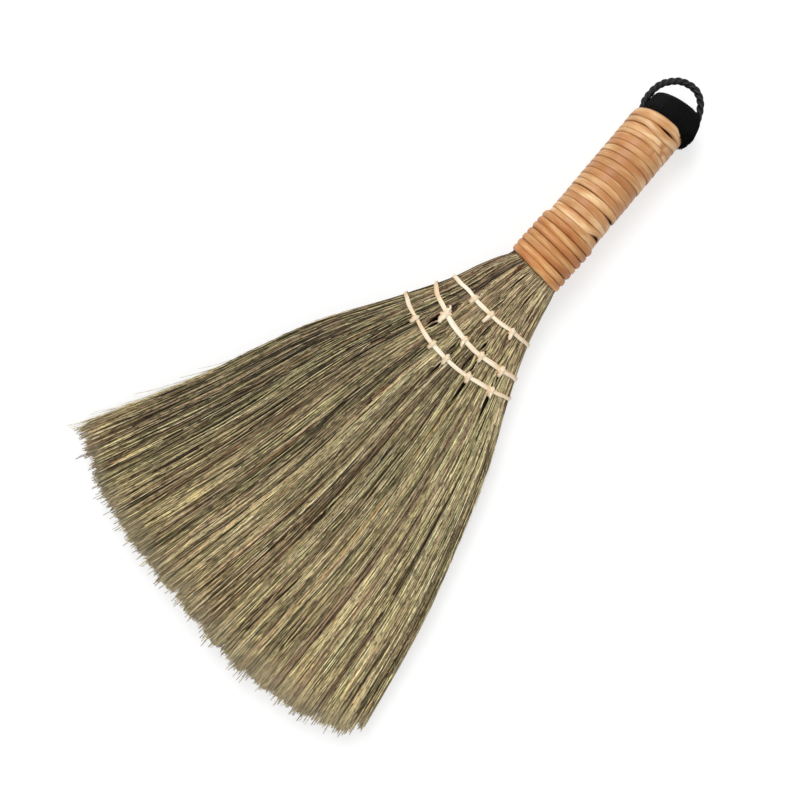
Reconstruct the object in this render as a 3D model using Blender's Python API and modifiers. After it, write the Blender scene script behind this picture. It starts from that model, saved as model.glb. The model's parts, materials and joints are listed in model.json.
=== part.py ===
"""A straw hand broom: a fan of straw in six locks, lashed by three cane bands, on a rattan-wound handle.

Everything is built in the handle's frame first: +Y runs up the handle's axis from the collar's lower
edge to the hanging loop, +X is across the fan and +Z is up, and the broom lies on its back. An empty
then carries the whole broom so that the middle of its underside is the world's origin.
Units are metres.
"""

import math

import bmesh
import bpy
import numpy as np
from mathutils import Matrix, Vector

MM = 0.001

# Clearances
SEAT_GAP = 0.3 * MM
TURN_GAP = 0.46 * MM
OVERRUN = 6 * MM

# Handle: the stalks' core and its two windings
COLLAR_LENGTH = 27.0 * MM
COLLAR_RADIUS = 15.75 * MM
COLLAR_CANE = 1.6 * MM
COLLAR_TURNS = 6
COLLAR_CROWN_SHARE = 0.5
HANDLE_TOP = 95.2 * MM
GRIP_BELOW_COLLAR = 1.35 * MM
GRIP_PEEL = 1.15 * MM
GRIP_TURNS = 18
POINTS_A_TURN = 16
CORE_FOOT = 6.0 * MM
CORE_FACES = 24
TIE_THICKNESS = 2.0 * MM
TIE_SHARES = (0.44, 0.777)

# Fibre cap over the stalks' ends: its height, and how far it spreads as shares of the grip's radius
CAP_SLEEVE = 8.0 * MM
CAP_WALL = 2.3 * MM
CAP_HEIGHT = 17.3 * MM
CAP_TOP_WALL = 4.5 * MM
CAP_LEFT_SHARE = 0.861
CAP_RIGHT_SHARE = 1.174
CAP_DEEP_SHARE = 0.903
CAP_FACES = 24

# Hanging loop: the rope's route from one hidden end to the other, across the handle as shares of the
# grip's radius, and how far past the handle's top
ROPE_DIAMETER = 3.5 * MM
ROPE_ROUTE = [
    (-0.771, -17.2 * MM),
    (-0.771, -9.2 * MM),
    (-0.771, -1.7 * MM),
    (-0.875, 1.8 * MM),
    (-0.986, 5.3 * MM),
    (-1.014, 9.8 * MM),
    (-0.986, 14.4 * MM),
    (-0.847, 19.0 * MM),
    (-0.528, 23.8 * MM),
    (-0.146, 25.8 * MM),
    (0.181, 25.6 * MM),
    (0.472, 23.3 * MM),
    (0.660, 20.1 * MM),
    (0.806, 16.2 * MM),
    (0.924, 11.4 * MM),
    (0.938, 6.3 * MM),
    (0.861, 2.0 * MM),
    (0.771, -1.7 * MM),
    (0.771, -9.2 * MM),
    (0.771, -17.2 * MM),
]
HINGE_ABOVE_TOP = 16.8 * MM
MOUTH_RADIUS = 3.1 * MM

# Straw fan: its length, its edges and its thickness down the fan
FAN_LENGTH = 247 * MM
REACH_LEFT = 141 * MM
REACH_RIGHT = 88 * MM
TIP_HALF_THICKNESS = 9.0 * MM
FLOOR_CUT = 0.5 * MM
STATION_SHARES = (0.0, 0.020, 0.061, 0.113, 0.202, 0.364, 0.607, 1.0)
LEFT_EDGE_SHARES = (0.0, 0.034, 0.074, 0.114, 0.211, 0.405, 0.618, 1.0)
RIGHT_EDGE_SHARES = (0.0, 0.035, 0.068, 0.105, 0.211, 0.446, 0.703, 1.0)
THINNING_SHARES = (0.0, 0.07, 0.21, 0.39, 0.74, 0.92, 0.96, 1.0)
TIP_ACROSS_SHARES = (-1.0, -0.70, -0.25, 0.05, 0.50, 0.80, 1.0)
TIP_LENGTH_SHARES = (0.85, 0.905, 0.958, 0.990, 1.0, 0.985, 0.92)

# Straw locks and their strands
LOCK_EDGE_SHARES = (-1.0, -0.584, -0.189, 0.049, 0.387, 0.727, 1.0)
LOCK_INNER_SHARES = (0.0, 0.34, 0.67, 1.0)
RIM_SHARES = (1.0, 0.965, 0.86)
LOCK_GAP = 0.3 * MM
BACKING_BELOW_BAND = 6.0 * MM
BACKING_ROWS = 3
STRAND_COLUMNS = 66
STRAND_LAYERS = 6
STRAND_ROOT = (0.8 * MM, 1.6 * MM)
STRAND_BELLY = (1.8 * MM, 2.1 * MM)
STRAND_TIP = (2.5 * MM, 1.7 * MM)
STRAND_ROOTING = 2.0 * MM
BELLY_SHARE = 0.55
RAGGED_TIPS = 7.0 * MM
EDGE_MARGIN = 1.25 * MM

# Cane bands: how far below the collar each lies at the left edge, the middle and the right edge
BAND_WIDTH = 2.5 * MM
BAND_THICKNESS = 0.8 * MM
UPPER_BAND_AT = (28.2 * MM, 31.9 * MM, 30.2 * MM)
MIDDLE_BAND_AT = (36.7 * MM, 49.3 * MM, 46.8 * MM)
LOWER_BAND_AT = (50.2 * MM, 62.3 * MM, 56.2 * MM)
BAND_POINTS = 36

# Lashings through the straw, by their shares of the way across the fan
STITCH_RADIUS = 0.6 * MM
KNOT_RADIUS = 1.05 * MM
KNOT_SHOULDER_SHARE = 0.72
KNOT_SHOULDER_WIDTH_SHARE = 1.15
BACK_RUN_SHARE = 0.6
UPPER_STITCH_SHARES = (-0.369, 0.06, 0.58)
MIDDLE_STITCH_SHARES = (-0.42, 0.05, 0.375, 0.74)
LOWER_STITCH_SHARES = (-0.584, -0.189, 0.049, 0.387, 0.727)
SLOT_HALF_WIDTH = 1.1 * MM
SLOT_ABOVE = 4.4 * MM
SLOT_BELOW = 6.6 * MM
SLOT_SHOULDER_SHARES = (0.7, 0.55)

# Radii and places along the handle that follow from the sizes above
NECK_RADIUS = COLLAR_RADIUS - COLLAR_CANE - SEAT_GAP
GRIP_RADIUS = COLLAR_RADIUS - GRIP_BELOW_COLLAR
GRIP_INNER = GRIP_RADIUS - GRIP_PEEL
COLLAR_PITCH = (COLLAR_LENGTH + TURN_GAP) / (COLLAR_TURNS + 1)
COLLAR_WIDTH = COLLAR_PITCH - TURN_GAP
GRIP_START = COLLAR_LENGTH - COLLAR_WIDTH / 2
GRIP_PITCH = (HANDLE_TOP - GRIP_START + TURN_GAP / 2) / (GRIP_TURNS + 0.5)
GRIP_WIDTH = GRIP_PITCH - TURN_GAP
CORE_STEP = COLLAR_LENGTH - COLLAR_WIDTH - SEAT_GAP
CORE_RADIUS = GRIP_INNER - SEAT_GAP
CORE_NECK_RADIUS = CORE_RADIUS - CAP_WALL - SEAT_GAP
SLEEVE_START = HANDLE_TOP - CAP_SLEEVE
CAP_TOP = HANDLE_TOP + CAP_HEIGHT
CORE_TOP = CAP_TOP - CAP_TOP_WALL - SEAT_GAP
HINGE_AT = HANDLE_TOP + HINGE_ABOVE_TOP
FLOOR_BELOW_AXIS = COLLAR_RADIUS - FLOOR_CUT
DROOP = (FLOOR_BELOW_AXIS - TIP_HALF_THICKNESS + FLOOR_CUT) / FAN_LENGTH
GOLDEN_SHARE = 0.618


def clear_scene():
    for item in list(bpy.data.objects):
        bpy.data.objects.remove(item, do_unlink=True)


def collection(name):
    made = bpy.data.collections.new(name)
    bpy.context.scene.collection.children.link(made)
    return made


def material(name, colour, roughness):
    made = bpy.data.materials.new(name)
    made.use_nodes = True
    shader = made.node_tree.nodes["Principled BSDF"]
    shader.inputs["Base Color"].default_value = (*colour, 1.0)
    shader.inputs["Roughness"].default_value = roughness
    shader.inputs["Metallic"].default_value = 0.0
    return made


def place(name, data, folder, finish=None):
    """A new object on the broom's empty; one without a finish is a cutter or a guide."""
    made = bpy.data.objects.new(name, data)
    folder.objects.link(made)
    made.parent = bpy.data.objects["broom_frame"]
    if finish is None:
        made.hide_render = True
        made.display_type = "WIRE"
    else:
        data.materials.append(finish)
    return made


def mesh_from(name, points, faces):
    made = bpy.data.meshes.new(name)
    made.from_pydata([tuple(p) for p in points], [], [tuple(f) for f in faces])
    made.validate()
    return made


def end_faces(around, pointed):
    """An end's faces as rungs from side to side, for a ring that runs out along its front and back behind."""
    faces = [(0, 1, around - 1)] if pointed else []
    near, far = (1 if pointed else 0), around - 1
    while far - near > 2:
        faces.append((near, near + 1, far - 1, far))
        near, far = near + 1, far - 1
    if far - near == 2:
        faces.append((near, near + 1, far))
    return faces


def loft(name, rows, pointed=False):
    """A closed mesh through rows of points, each row a ring of as many points, with faces at each end."""
    around = len(rows[0])
    faces = []
    for r in range(len(rows) - 1):
        for i in range(around):
            j = (i + 1) % around
            faces.append((r * around + i, r * around + j, (r + 1) * around + j, (r + 1) * around + i))
    last = (len(rows) - 1) * around
    for face in end_faces(around, pointed):
        faces.append(face[::-1])
        faces.append(tuple(last + i for i in face))
    made = mesh_from(name, np.vstack(rows), faces)
    turn_faces_out(made)
    return made


def turn_faces_out(data):
    work = bmesh.new()
    work.from_mesh(data)
    bmesh.ops.remove_doubles(work, verts=work.verts, dist=MM / 1000)
    bmesh.ops.recalc_face_normals(work, faces=work.faces)
    work.to_mesh(data)
    work.free()


def boolean(target, cutter, operation="DIFFERENCE"):
    made = target.modifiers.new(cutter.name, "BOOLEAN")
    made.operation = operation
    made.object = cutter
    made.solver = "EXACT"


def along_y():
    """Turns a shape made round the local Z axis to lie round the handle's axis, with local Z on +Y."""
    return Matrix.Rotation(-math.pi / 2, 4, "X")


def outline_curve(name, points, guides):
    """A flat closed outline that a strap's curve carries along its route."""
    data = bpy.data.curves.new(name, "CURVE")
    data.dimensions = "2D"
    line = data.splines.new("POLY")
    line.points.add(len(points) - 1)
    for spot, (x, y) in zip(line.points, points):
        spot.co = (x, y, 0.0, 1.0)
    line.use_cyclic_u = True
    return place(name, data, guides)


def tube(name, points, radius, sides_step=2, closed=False, widths=None, outline=None):
    """A curve's tube, or a strap with the given outline, along a poly line; widths scale it at its points."""
    data = bpy.data.curves.new(name, "CURVE")
    data.dimensions = "3D"
    data.use_fill_caps = not closed
    data.twist_mode = "Z_UP"
    data.bevel_resolution = sides_step
    if outline is None:
        data.bevel_depth = radius
    else:
        data.bevel_mode = "OBJECT"
        data.bevel_object = outline
    line = data.splines.new("POLY")
    line.points.add(len(points) - 1)
    for i, (spot, point) in enumerate(zip(line.points, points)):
        spot.co = (*point, 1.0)
        spot.radius = 1.0 if widths is None else widths[i]
    line.use_cyclic_u = closed
    return data


def solid_from_curve(name, curve, matrix, folder, finish):
    """The curve's tube as a mesh with its caps welded, so that it can be cut."""
    rough = bpy.data.objects.new(name + "_curve", curve)
    folder.objects.link(rough)
    view = bpy.context.evaluated_depsgraph_get()
    data = bpy.data.meshes.new_from_object(rough.evaluated_get(view))
    turn_faces_out(data)
    data.transform(matrix)
    bpy.data.objects.remove(rough, do_unlink=True)
    bpy.data.curves.remove(curve)
    data.materials.clear()
    return place(name, data, folder, finish)


def smooth_route(points, step):
    """Points a step apart on a smooth curve through the route's own points (a Catmull-Rom spline)."""
    given = np.asarray(points, float)
    ends = np.vstack([2 * given[0] - given[1], given, 2 * given[-1] - given[-2]])
    fine = []
    for i in range(1, len(ends) - 2):
        a, b, c, d = ends[i - 1], ends[i], ends[i + 1], ends[i + 2]
        for t in np.linspace(0, 1, 24, endpoint=False):
            fine.append(0.5 * (2 * b + (c - a) * t + (2 * a - 5 * b + 4 * c - d) * t**2
                               + (3 * b - a - 3 * c + d) * t**3))
    fine = np.array([*fine, given[-1]])
    run = np.concatenate([[0], np.cumsum(np.linalg.norm(np.diff(fine, axis=0), axis=1))])
    count = max(2, round(run[-1] / step) + 1)
    at = np.linspace(0, run[-1], count)
    return np.stack([np.interp(at, run, fine[:, k]) for k in range(fine.shape[1])], axis=1)


# The fan's own coordinates: u goes from -1 at its left edge to 1 at its right, w from its back to its front


def along_fan(down, shares):
    """A smooth curve through the shares at the stations: cubic pieces with a shared slope at each station."""
    at = min(max(down / FAN_LENGTH, 0.0), 1.0)
    k = min(int(np.searchsorted(STATION_SHARES, at, side="right")) - 1, len(shares) - 2)
    slopes = np.gradient(np.array(shares), np.array(STATION_SHARES))
    wide = STATION_SHARES[k + 1] - STATION_SHARES[k]
    t = (at - STATION_SHARES[k]) / wide
    start = (2 * t**3 - 3 * t**2 + 1) * shares[k] + (t**3 - 2 * t**2 + t) * wide * slopes[k]
    return start + (3 * t**2 - 2 * t**3) * shares[k + 1] + (t**3 - t**2) * wide * slopes[k + 1]


def half_thickness(down):
    return NECK_RADIUS + (TIP_HALF_THICKNESS - NECK_RADIUS) * along_fan(down, THINNING_SHARES)


def edges_at(down):
    left = -NECK_RADIUS - (REACH_LEFT - NECK_RADIUS) * along_fan(down, LEFT_EDGE_SHARES)
    right = NECK_RADIUS + (REACH_RIGHT - NECK_RADIUS) * along_fan(down, RIGHT_EDGE_SHARES)
    return left, right


def fullness(u):
    """The straw's share of the full half thickness at u: an ellipse."""
    return math.sqrt(max(0.0, 1 - u * u))


def fan_point(u, w, down):
    left, right = edges_at(down)
    x = left + (right - left) * (u + 1) / 2
    z = -DROOP * max(0.0, down) + w * half_thickness(down)
    return np.array([x, -down, z])


def straw_direction(u, down):
    """The way that straw at u runs down the fan, over one short step."""
    ahead = fan_point(u, 0, down + OVERRUN) - fan_point(u, 0, down)
    return ahead / np.linalg.norm(ahead)


def band_down(at, u):
    """How far below the collar a band lies at u: a parabola through its left, middle and right places."""
    left, middle, right = at
    return middle + (right - left) / 2 * u + ((left + right) / 2 - middle) * u * u


def tip_down(u):
    return FAN_LENGTH * np.interp(u, TIP_ACROSS_SHARES, TIP_LENGTH_SHARES)


# Handle


def turned_core(folder, finish):
    """The stalk core, a profile turned round the handle's axis, with a waist for each tie."""
    waist = TIE_THICKNESS + SEAT_GAP
    profile = [(0, CORE_FOOT), (NECK_RADIUS, CORE_FOOT), (NECK_RADIUS, CORE_STEP), (CORE_RADIUS, CORE_STEP)]
    for share in TIE_SHARES:
        at = share * HANDLE_TOP
        profile += [(CORE_RADIUS, at - waist), (CORE_RADIUS - waist, at - waist / 2)]
        profile += [(CORE_RADIUS - waist, at + waist / 2), (CORE_RADIUS, at + waist)]
    neck_start = SLEEVE_START - SEAT_GAP
    dome = CORE_NECK_RADIUS / 3
    profile += [(CORE_RADIUS, neck_start), (CORE_NECK_RADIUS, neck_start)]
    profile += [(CORE_NECK_RADIUS, CORE_TOP - dome), (CORE_NECK_RADIUS - dome, CORE_TOP), (0, CORE_TOP)]
    profile = profile[::-1]
    data = bpy.data.meshes.new("stalk_core")
    points = [(radius, 0.0, height) for radius, height in profile]
    data.from_pydata(points, [(i, i + 1) for i in range(len(points) - 1)], [])
    core = place("stalk_core", data, folder, finish)
    core.rotation_euler = (-math.pi / 2, 0, 0)
    screw = core.modifiers.new("turn", "SCREW")
    screw.steps = CORE_FACES
    screw.render_steps = CORE_FACES
    screw.use_merge_vertices = True
    screw.merge_threshold = MM / 100
    screw.use_smooth_shade = True
    return core


def tie(name, share, folder, finish):
    """One twine ring in its waist of the core, at its share of the handle's length."""
    radius = TIE_THICKNESS / 2
    ring = CORE_RADIUS - radius - SEAT_GAP / 2
    bpy.ops.mesh.primitive_torus_add(major_segments=CORE_FACES, minor_segments=6,
                                     major_radius=ring, minor_radius=radius)
    made = bpy.context.object
    data = made.data
    bpy.data.objects.remove(made, do_unlink=True)
    data.name = name
    made = place(name, data, folder, finish)
    made.rotation_euler = (-math.pi / 2, 0, 0)
    made.location = (0, share * HANDLE_TOP, 0)
    return made


def winding_points(start, pitch, turns, middle_radius, gap_turn):
    """A helix round local Z from the height of its strip's middle, which begins gap_turn past +X.

    Its corners stand out so that its flats keep middle_radius. Its first and last flats are straight and
    longer than the strip is wide.
    """
    radius = middle_radius / math.cos(math.pi / POINTS_A_TURN)
    angles = np.linspace(gap_turn, 2 * math.pi * turns - gap_turn, turns * POINTS_A_TURN + 1)
    heights = start + pitch * angles / (2 * math.pi)
    return np.stack([radius * np.cos(angles), radius * np.sin(angles), heights], axis=1)


def least_gap(name, data, sides):
    """Measures, on the winding's own points, how near one turn comes to the next, and prints it."""
    points = np.array([v.co for v in data.vertices])[: (len(data.vertices) // sides) * sides]
    step = POINTS_A_TURN * sides
    near = math.inf
    for shift in range(step - 2 * sides, step + 2 * sides + 1):
        if shift < len(points):
            near = min(near, np.linalg.norm(points[shift:] - points[:-shift], axis=1).min())
    print(f"{name}: least gap between its turns {near / MM:.2f} mm")


def winding(name, start, pitch, turns, radius, thickness, crown, folder, guides, finish):
    """One unbroken strip wound round the handle; crown is the share of its width that stays at full height."""
    gap_turn = TURN_GAP / radius
    helix = winding_points(start, pitch, turns, radius - thickness / 2, gap_turn)
    half, deep = (pitch - TURN_GAP) / 2, thickness / 2
    section = [(-deep, -half), (deep * crown, -half), (deep, -half * crown),
               (deep, half * crown), (deep * crown, half), (-deep, half)]
    if crown == 1:
        section = [(-deep, -half), (deep, -half), (deep, half), (-deep, half)]
    outline = outline_curve(name + "_outline", section, guides)
    data = tube(name, helix, 0, outline=outline)
    made = solid_from_curve(name, data, along_y(), folder, finish)
    least_gap(name, made.data, len(section))
    return made


def fibre_cap(folder, finish):
    """The cap, a loft from the round sleeve under the rattan to the lopsided dome above it."""
    angles = np.arange(CAP_FACES) * 2 * math.pi / CAP_FACES
    top = CAP_HEIGHT
    sections = [
        (SLEEVE_START, CORE_RADIUS, CORE_RADIUS, CORE_RADIUS),
        (HANDLE_TOP + SEAT_GAP, CORE_RADIUS, CORE_RADIUS, CORE_RADIUS),
    ]
    rise_shares = (0.06, 0.30, 0.52, 0.72, 0.86, 0.95, 1.0)
    left_shares = (0.97, 0.99, 1.0, 0.99, 0.90, 0.66, 0.30)
    right_shares = (0.94, 1.0, 0.985, 0.91, 0.76, 0.58, 0.42)
    deep_shares = (0.97, 1.0, 1.0, 0.96, 0.85, 0.62, 0.32)
    spread = (CAP_LEFT_SHARE * GRIP_RADIUS, CAP_RIGHT_SHARE * GRIP_RADIUS, CAP_DEEP_SHARE * GRIP_RADIUS)
    for rise, left, right, deep in zip(rise_shares, left_shares, right_shares, deep_shares):
        sections.append((HANDLE_TOP + rise * top, spread[0] * left, spread[1] * right, spread[2] * deep))
    rows = []
    for at, left, right, deep in sections:
        x = (right - left) / 2 + (right + left) / 2 * np.cos(angles)
        rows.append(np.stack([x, np.full_like(x, at), deep * np.sin(angles)], axis=1))
    return place("fibre_cap", loft("fibre_cap", rows), folder, finish)


def core_socket(guides):
    """The cutter for the cap's socket: the core's top, larger by the seat gap."""
    grown = CORE_NECK_RADIUS + SEAT_GAP
    dome = CORE_NECK_RADIUS / 3
    angles = np.arange(CORE_FACES) * 2 * math.pi / CORE_FACES
    rows = []
    for radius, at in ((grown, SLEEVE_START - OVERRUN), (grown, CORE_TOP - dome + SEAT_GAP),
                       (grown - dome, CORE_TOP + SEAT_GAP)):
        rows.append(np.stack([radius * np.cos(angles), np.full_like(angles, at), radius * np.sin(angles)], 1))
    return place("cap_socket", loft("cap_socket", rows), guides)


# Hanging loop


def rope_route():
    """The whole rope's smooth route, split at the hinge into its left tail, arch and right tail."""
    points = [(share * GRIP_RADIUS, HANDLE_TOP + past) for share, past in ROPE_ROUTE]
    flat = smooth_route(points, ROPE_DIAMETER / 4)
    route = np.stack([flat[:, 0], flat[:, 1], np.zeros(len(flat))], axis=1)
    above = np.flatnonzero(route[:, 1] > HINGE_AT)
    first, last = above[0], above[-1]
    return route[:first], route[first : last + 1], route[last + 1 :]


def at_height(line, height):
    """The point of a line, given from low to high, at that place along the handle."""
    return np.array([np.interp(height, line[:, 1], line[:, 0]), height, 0.0])


def thinned(line, step):
    run = np.concatenate([[0], np.cumsum(np.linalg.norm(np.diff(line, axis=0), axis=1))])
    at = np.linspace(0, run[-1], max(3, round(run[-1] / step) + 1))
    return np.stack([np.interp(at, run, line[:, k]) for k in range(3)], axis=1)


def rope_pieces(folder, guides, finish):
    """The arch, round-ended at the hinge, the two tails that face it, and the tails' channel cutters."""
    left, arch, right = rope_route()
    right = right[::-1]
    radius = ROPE_DIAMETER / 2
    rising = {"left": np.vstack([left, arch[:2]]), "right": np.vstack([right, arch[:-3:-1]])}
    tail_top = HINGE_AT - radius - SEAT_GAP
    cutters = []
    for side, line in rising.items():
        end = at_height(line, tail_top)
        body = thinned(np.vstack([line[line[:, 1] < tail_top - MM], end]), ROPE_DIAMETER)
        place("loop_tail_" + side, tube("loop_tail_" + side, body, radius), folder, finish)
        hinge = at_height(line, HINGE_AT)
        slope = hinge - end
        slope = slope / np.linalg.norm(slope)
        low = body[0] - Vector((0, OVERRUN / 3, 0))
        channel = np.vstack([low, body[1:], hinge + slope * radius])
        wide = 1 + SEAT_GAP / radius
        widths = [wide] * (len(channel) - 1) + [MOUTH_RADIUS / radius]
        data = tube("rope_channel_" + side, channel, radius, widths=widths)
        cutters.append(solid_from_curve("rope_channel_" + side, data, Matrix(), guides, None))
    ends = (at_height(rising["left"], HINGE_AT), at_height(rising["right"], HINGE_AT))
    inner = thinned(np.vstack([ends[0], arch[1:-1], ends[1]]), ROPE_DIAMETER)
    round_shares = ((0.97, 0.25), (0.80, 0.60), (0.45, 0.89))
    first_way = (inner[1] - inner[0]) / np.linalg.norm(inner[1] - inner[0])
    last_way = (inner[-2] - inner[-1]) / np.linalg.norm(inner[-2] - inner[-1])
    start = [inner[0] - first_way * radius * far for far, _ in round_shares]
    stop = [inner[-1] - last_way * radius * far for far, _ in reversed(round_shares)]
    points = np.vstack([start, inner, stop])
    widths = [r for _, r in round_shares] + [1.0] * len(inner) + [r for _, r in reversed(round_shares)]
    place("hang_loop", tube("hang_loop", points, radius, widths=widths), folder, finish)
    return cutters


# Straw fan


def backing(number, low, high):
    """One lock's closed backing, lofted from inside the collar to just below the lower band."""
    inner = [low + (high - low) * share for share in LOCK_INNER_SHARES]
    if low == -1:
        inner = [*(-share for share in RIM_SHARES), (high - RIM_SHARES[-1]) / 2, high]
    if high == 1:
        inner = [low, (low + RIM_SHARES[-1]) / 2, *reversed(RIM_SHARES)]
    rows = [ring_of_lock(inner, lambda u: -(CORE_FOOT - SEAT_GAP), low, high)]
    for row in range(BACKING_ROWS * 3 + 2):
        rows.append(ring_of_lock(inner, lambda u, r=row: backing_row(u, r), low, high))
    return loft(f"straw_bundle_{number}", rows, pointed=low == -1)


def backing_row(u, row):
    """How far down row number row lies at u: rows run along the bands' own lines, evenly between them."""
    marks = [0.0, *(band_down(at, u) for at in (UPPER_BAND_AT, MIDDLE_BAND_AT, LOWER_BAND_AT)), backing_end(u)]
    return float(np.interp(row / BACKING_ROWS, (0, 1, 2, 3, 3 + 1 / BACKING_ROWS), marks))


def backing_end(u):
    return band_down(LOWER_BAND_AT, u) + BACKING_BELOW_BAND


def ring_of_lock(across, down_at, low, high):
    """One section of a lock: along its front from low to high, then back along its underside."""
    front, back = [], []
    for u in across:
        down = down_at(u)
        point = fan_point(u, fullness(u), max(0.0, down))
        under = fan_point(u, -fullness(u), max(0.0, down))
        point[1] = under[1] = -down
        shift = 0.0
        if u == low and low != -1:
            shift = LOCK_GAP / 2
        if u == high and high != 1:
            shift = -LOCK_GAP / 2
        point[0] += shift
        under[0] += shift
        front.append(point)
        if abs(u) < 1:
            back.append(under)
    return front + back[::-1]


def strand(root_u, u, w, ragged):
    """One three-sided strand from inside the backing, at root_u and w, to its tip at u and w."""
    root = backing_end(root_u) - STRAND_ROOTING
    belly = root + (tip_down(u) - root) * BELLY_SHARE
    tip = tip_down(u) - ragged
    points = []
    stages = ((root_u, root, STRAND_ROOT), (u, belly, STRAND_BELLY), (u, tip, STRAND_TIP))
    for across, down, (wide, deep) in stages:
        middle = fan_point(across, w, down)
        up = 1 if w >= 0 else -1
        points += [middle + np.array([-wide / 2, 0, -up * deep / 3]),
                   middle + np.array([wide / 2, 0, -up * deep / 3]),
                   middle + np.array([0, 0, up * deep * 2 / 3])]
    return points


def strand_places(low, high):
    """The strands of one lock: u at the root, clear of the lashings' slots, u further down, and w."""
    down = band_down(LOWER_BAND_AT, (low + high) / 2) + BACKING_BELOW_BAND
    left, right = edges_at(down)
    margin = 2 * EDGE_MARGIN / (right - left)
    start, stop = low + margin, high - margin
    columns = max(2, round(STRAND_COLUMNS * (high - low) / 2))
    places = []
    for c in range(columns):
        way = (c + 0.5) / columns
        root_u, u = start + (stop - start) * way, low + (high - low) * way
        layers = max(1, round(STRAND_LAYERS * fullness(root_u)))
        for k in range(layers):
            places.append((root_u, u, (2 * k + 1 - layers) / layers * fullness(root_u)))
    return places


def strands(number, low, high, guides):
    """All the strands of one lock as one mesh of separate prisms, ready to be joined to their backing."""
    points, faces = [], []
    for i, (root_u, u, w) in enumerate(strand_places(low, high)):
        ragged = RAGGED_TIPS * ((i * GOLDEN_SHARE) % 1)
        first = len(points)
        points += strand(root_u, u, w, ragged)
        for ring in (0, 3):
            for side in range(3):
                a, b = first + ring + side, first + ring + (side + 1) % 3
                faces.append((a, b, b + 3, a + 3))
        faces += [(first + 2, first + 1, first), (first + 6, first + 7, first + 8)]
    print(f"straw_bundle_{number}: {len(points) // 9} strands")
    data = mesh_from(f"strands_{number}", points, faces)
    turn_faces_out(data)
    return place(f"strands_{number}", data, guides)


def band_ring(at, lift):
    """The ring round the fan at a band, lifted off the straw, and how far the straw's slope tilts it."""
    points, tilts = [], []
    for i in range(BAND_POINTS):
        turn = 2 * math.pi * i / BAND_POINTS
        u, w = math.cos(turn), math.sin(turn)
        down = band_down(at, u)
        left, right = edges_at(down)
        out = np.array([u / (right - left) * 2, 0, w / half_thickness(down)])
        out = out / np.linalg.norm(out)
        surface = fan_point(u, w, down)
        flare = float((fan_point(u, w, down + BAND_WIDTH) - surface) @ out) / BAND_WIDTH
        tilt = math.atan(flare)
        raised = lift / math.cos(tilt)
        points.append(surface + out * raised)
        tilts.append(tilt)
    return points, tilts


def band(name, at, folder, guides, finish):
    """One flat cane band round the fan; its curve is made round local Z so that its section stays flat."""
    half, deep = BAND_WIDTH / 2, BAND_THICKNESS / 2
    section = [(-deep, half), (deep, half), (deep, -half), (-deep, -half)]
    points, tilts = band_ring(at, SEAT_GAP + deep)
    turned = [(p[0], -p[2], p[1]) for p in points]
    data = tube(name, turned, 0, closed=True, outline=outline_curve(name + "_outline", section, guides))
    for spot, tilt in zip(data.splines[0].points, tilts):
        spot.tilt = tilt
    made = place(name, data, folder, finish)
    made.rotation_euler = (-math.pi / 2, 0, 0)
    return made


def stitch(name, at, u, folder, finish):
    """One lashing: a closed ring through the straw on both sides of the band, with its knot in front."""
    down = band_down(at, u)
    way = straw_direction(u, down)
    front = fan_point(u, fullness(u), down)
    back = fan_point(u, -fullness(u), down)
    over_band = SEAT_GAP + BAND_THICKNESS + SEAT_GAP
    reach = BAND_WIDTH / 2 + SEAT_GAP + STITCH_RADIUS
    top = front[2] + over_band + KNOT_RADIUS
    low = back[2] - over_band - STITCH_RADIUS
    knot = KNOT_RADIUS / STITCH_RADIUS
    turn = STITCH_RADIUS + SEAT_GAP
    shoulder, wide = reach * KNOT_SHOULDER_SHARE, KNOT_SHOULDER_WIDTH_SHARE
    behind = reach * BACK_RUN_SHARE
    route = [(-reach, top - 2 * turn, 1.0), (-shoulder, top - turn / 3, wide), (0, top, knot),
             (shoulder, top - turn / 3, wide), (reach, top - 2 * turn, 1.0),
             (reach, low + turn, 1.0), (behind, low, 1.0), (-behind, low, 1.0), (-reach, low + turn, 1.0)]
    points = [(front[0] + way[0] * s, front[1] + way[1] * s, z) for s, z, _ in route]
    data = tube(name, points, STITCH_RADIUS, sides_step=1, closed=True, widths=[r for _, _, r in route])
    return place(name, data, folder, finish)


def slot(name, at, u, below, guides):
    """The cutter for the parting of the straw at a lashing: a long lozenge down the straw, right through."""
    down = band_down(at, u)
    way = straw_direction(u, down)
    side = np.array([-way[1], way[0], 0])
    centre = fan_point(u, 0, down)
    upper, lower = -SLOT_ABOVE * SLOT_SHOULDER_SHARES[0], below * SLOT_SHOULDER_SHARES[1]
    outline = [(-SLOT_ABOVE, 0), (upper, SLOT_HALF_WIDTH), (lower, SLOT_HALF_WIDTH),
               (below, 0), (lower, -SLOT_HALF_WIDTH), (upper, -SLOT_HALF_WIDTH)]
    rows = []
    for z in (-COLLAR_RADIUS - OVERRUN, COLLAR_RADIUS + OVERRUN):
        rows.append([centre + way * s + side * a + np.array([0, 0, z]) for s, a in outline])
    return place(name, loft(name, rows), guides)


def lashings():
    """(name, band places, share across, slot length below the band) of each lashing."""
    rows = (("upper", UPPER_BAND_AT, UPPER_STITCH_SHARES), ("middle", MIDDLE_BAND_AT, MIDDLE_STITCH_SHARES),
            ("lower", LOWER_BAND_AT, LOWER_STITCH_SHARES))
    for row, at, shares in rows:
        below = SLOT_BELOW if row != "lower" else BACKING_BELOW_BAND * 2 + SLOT_BELOW
        for i, u in enumerate(shares):
            yield f"stitch_{row}_{i + 1}", at, u, below


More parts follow.
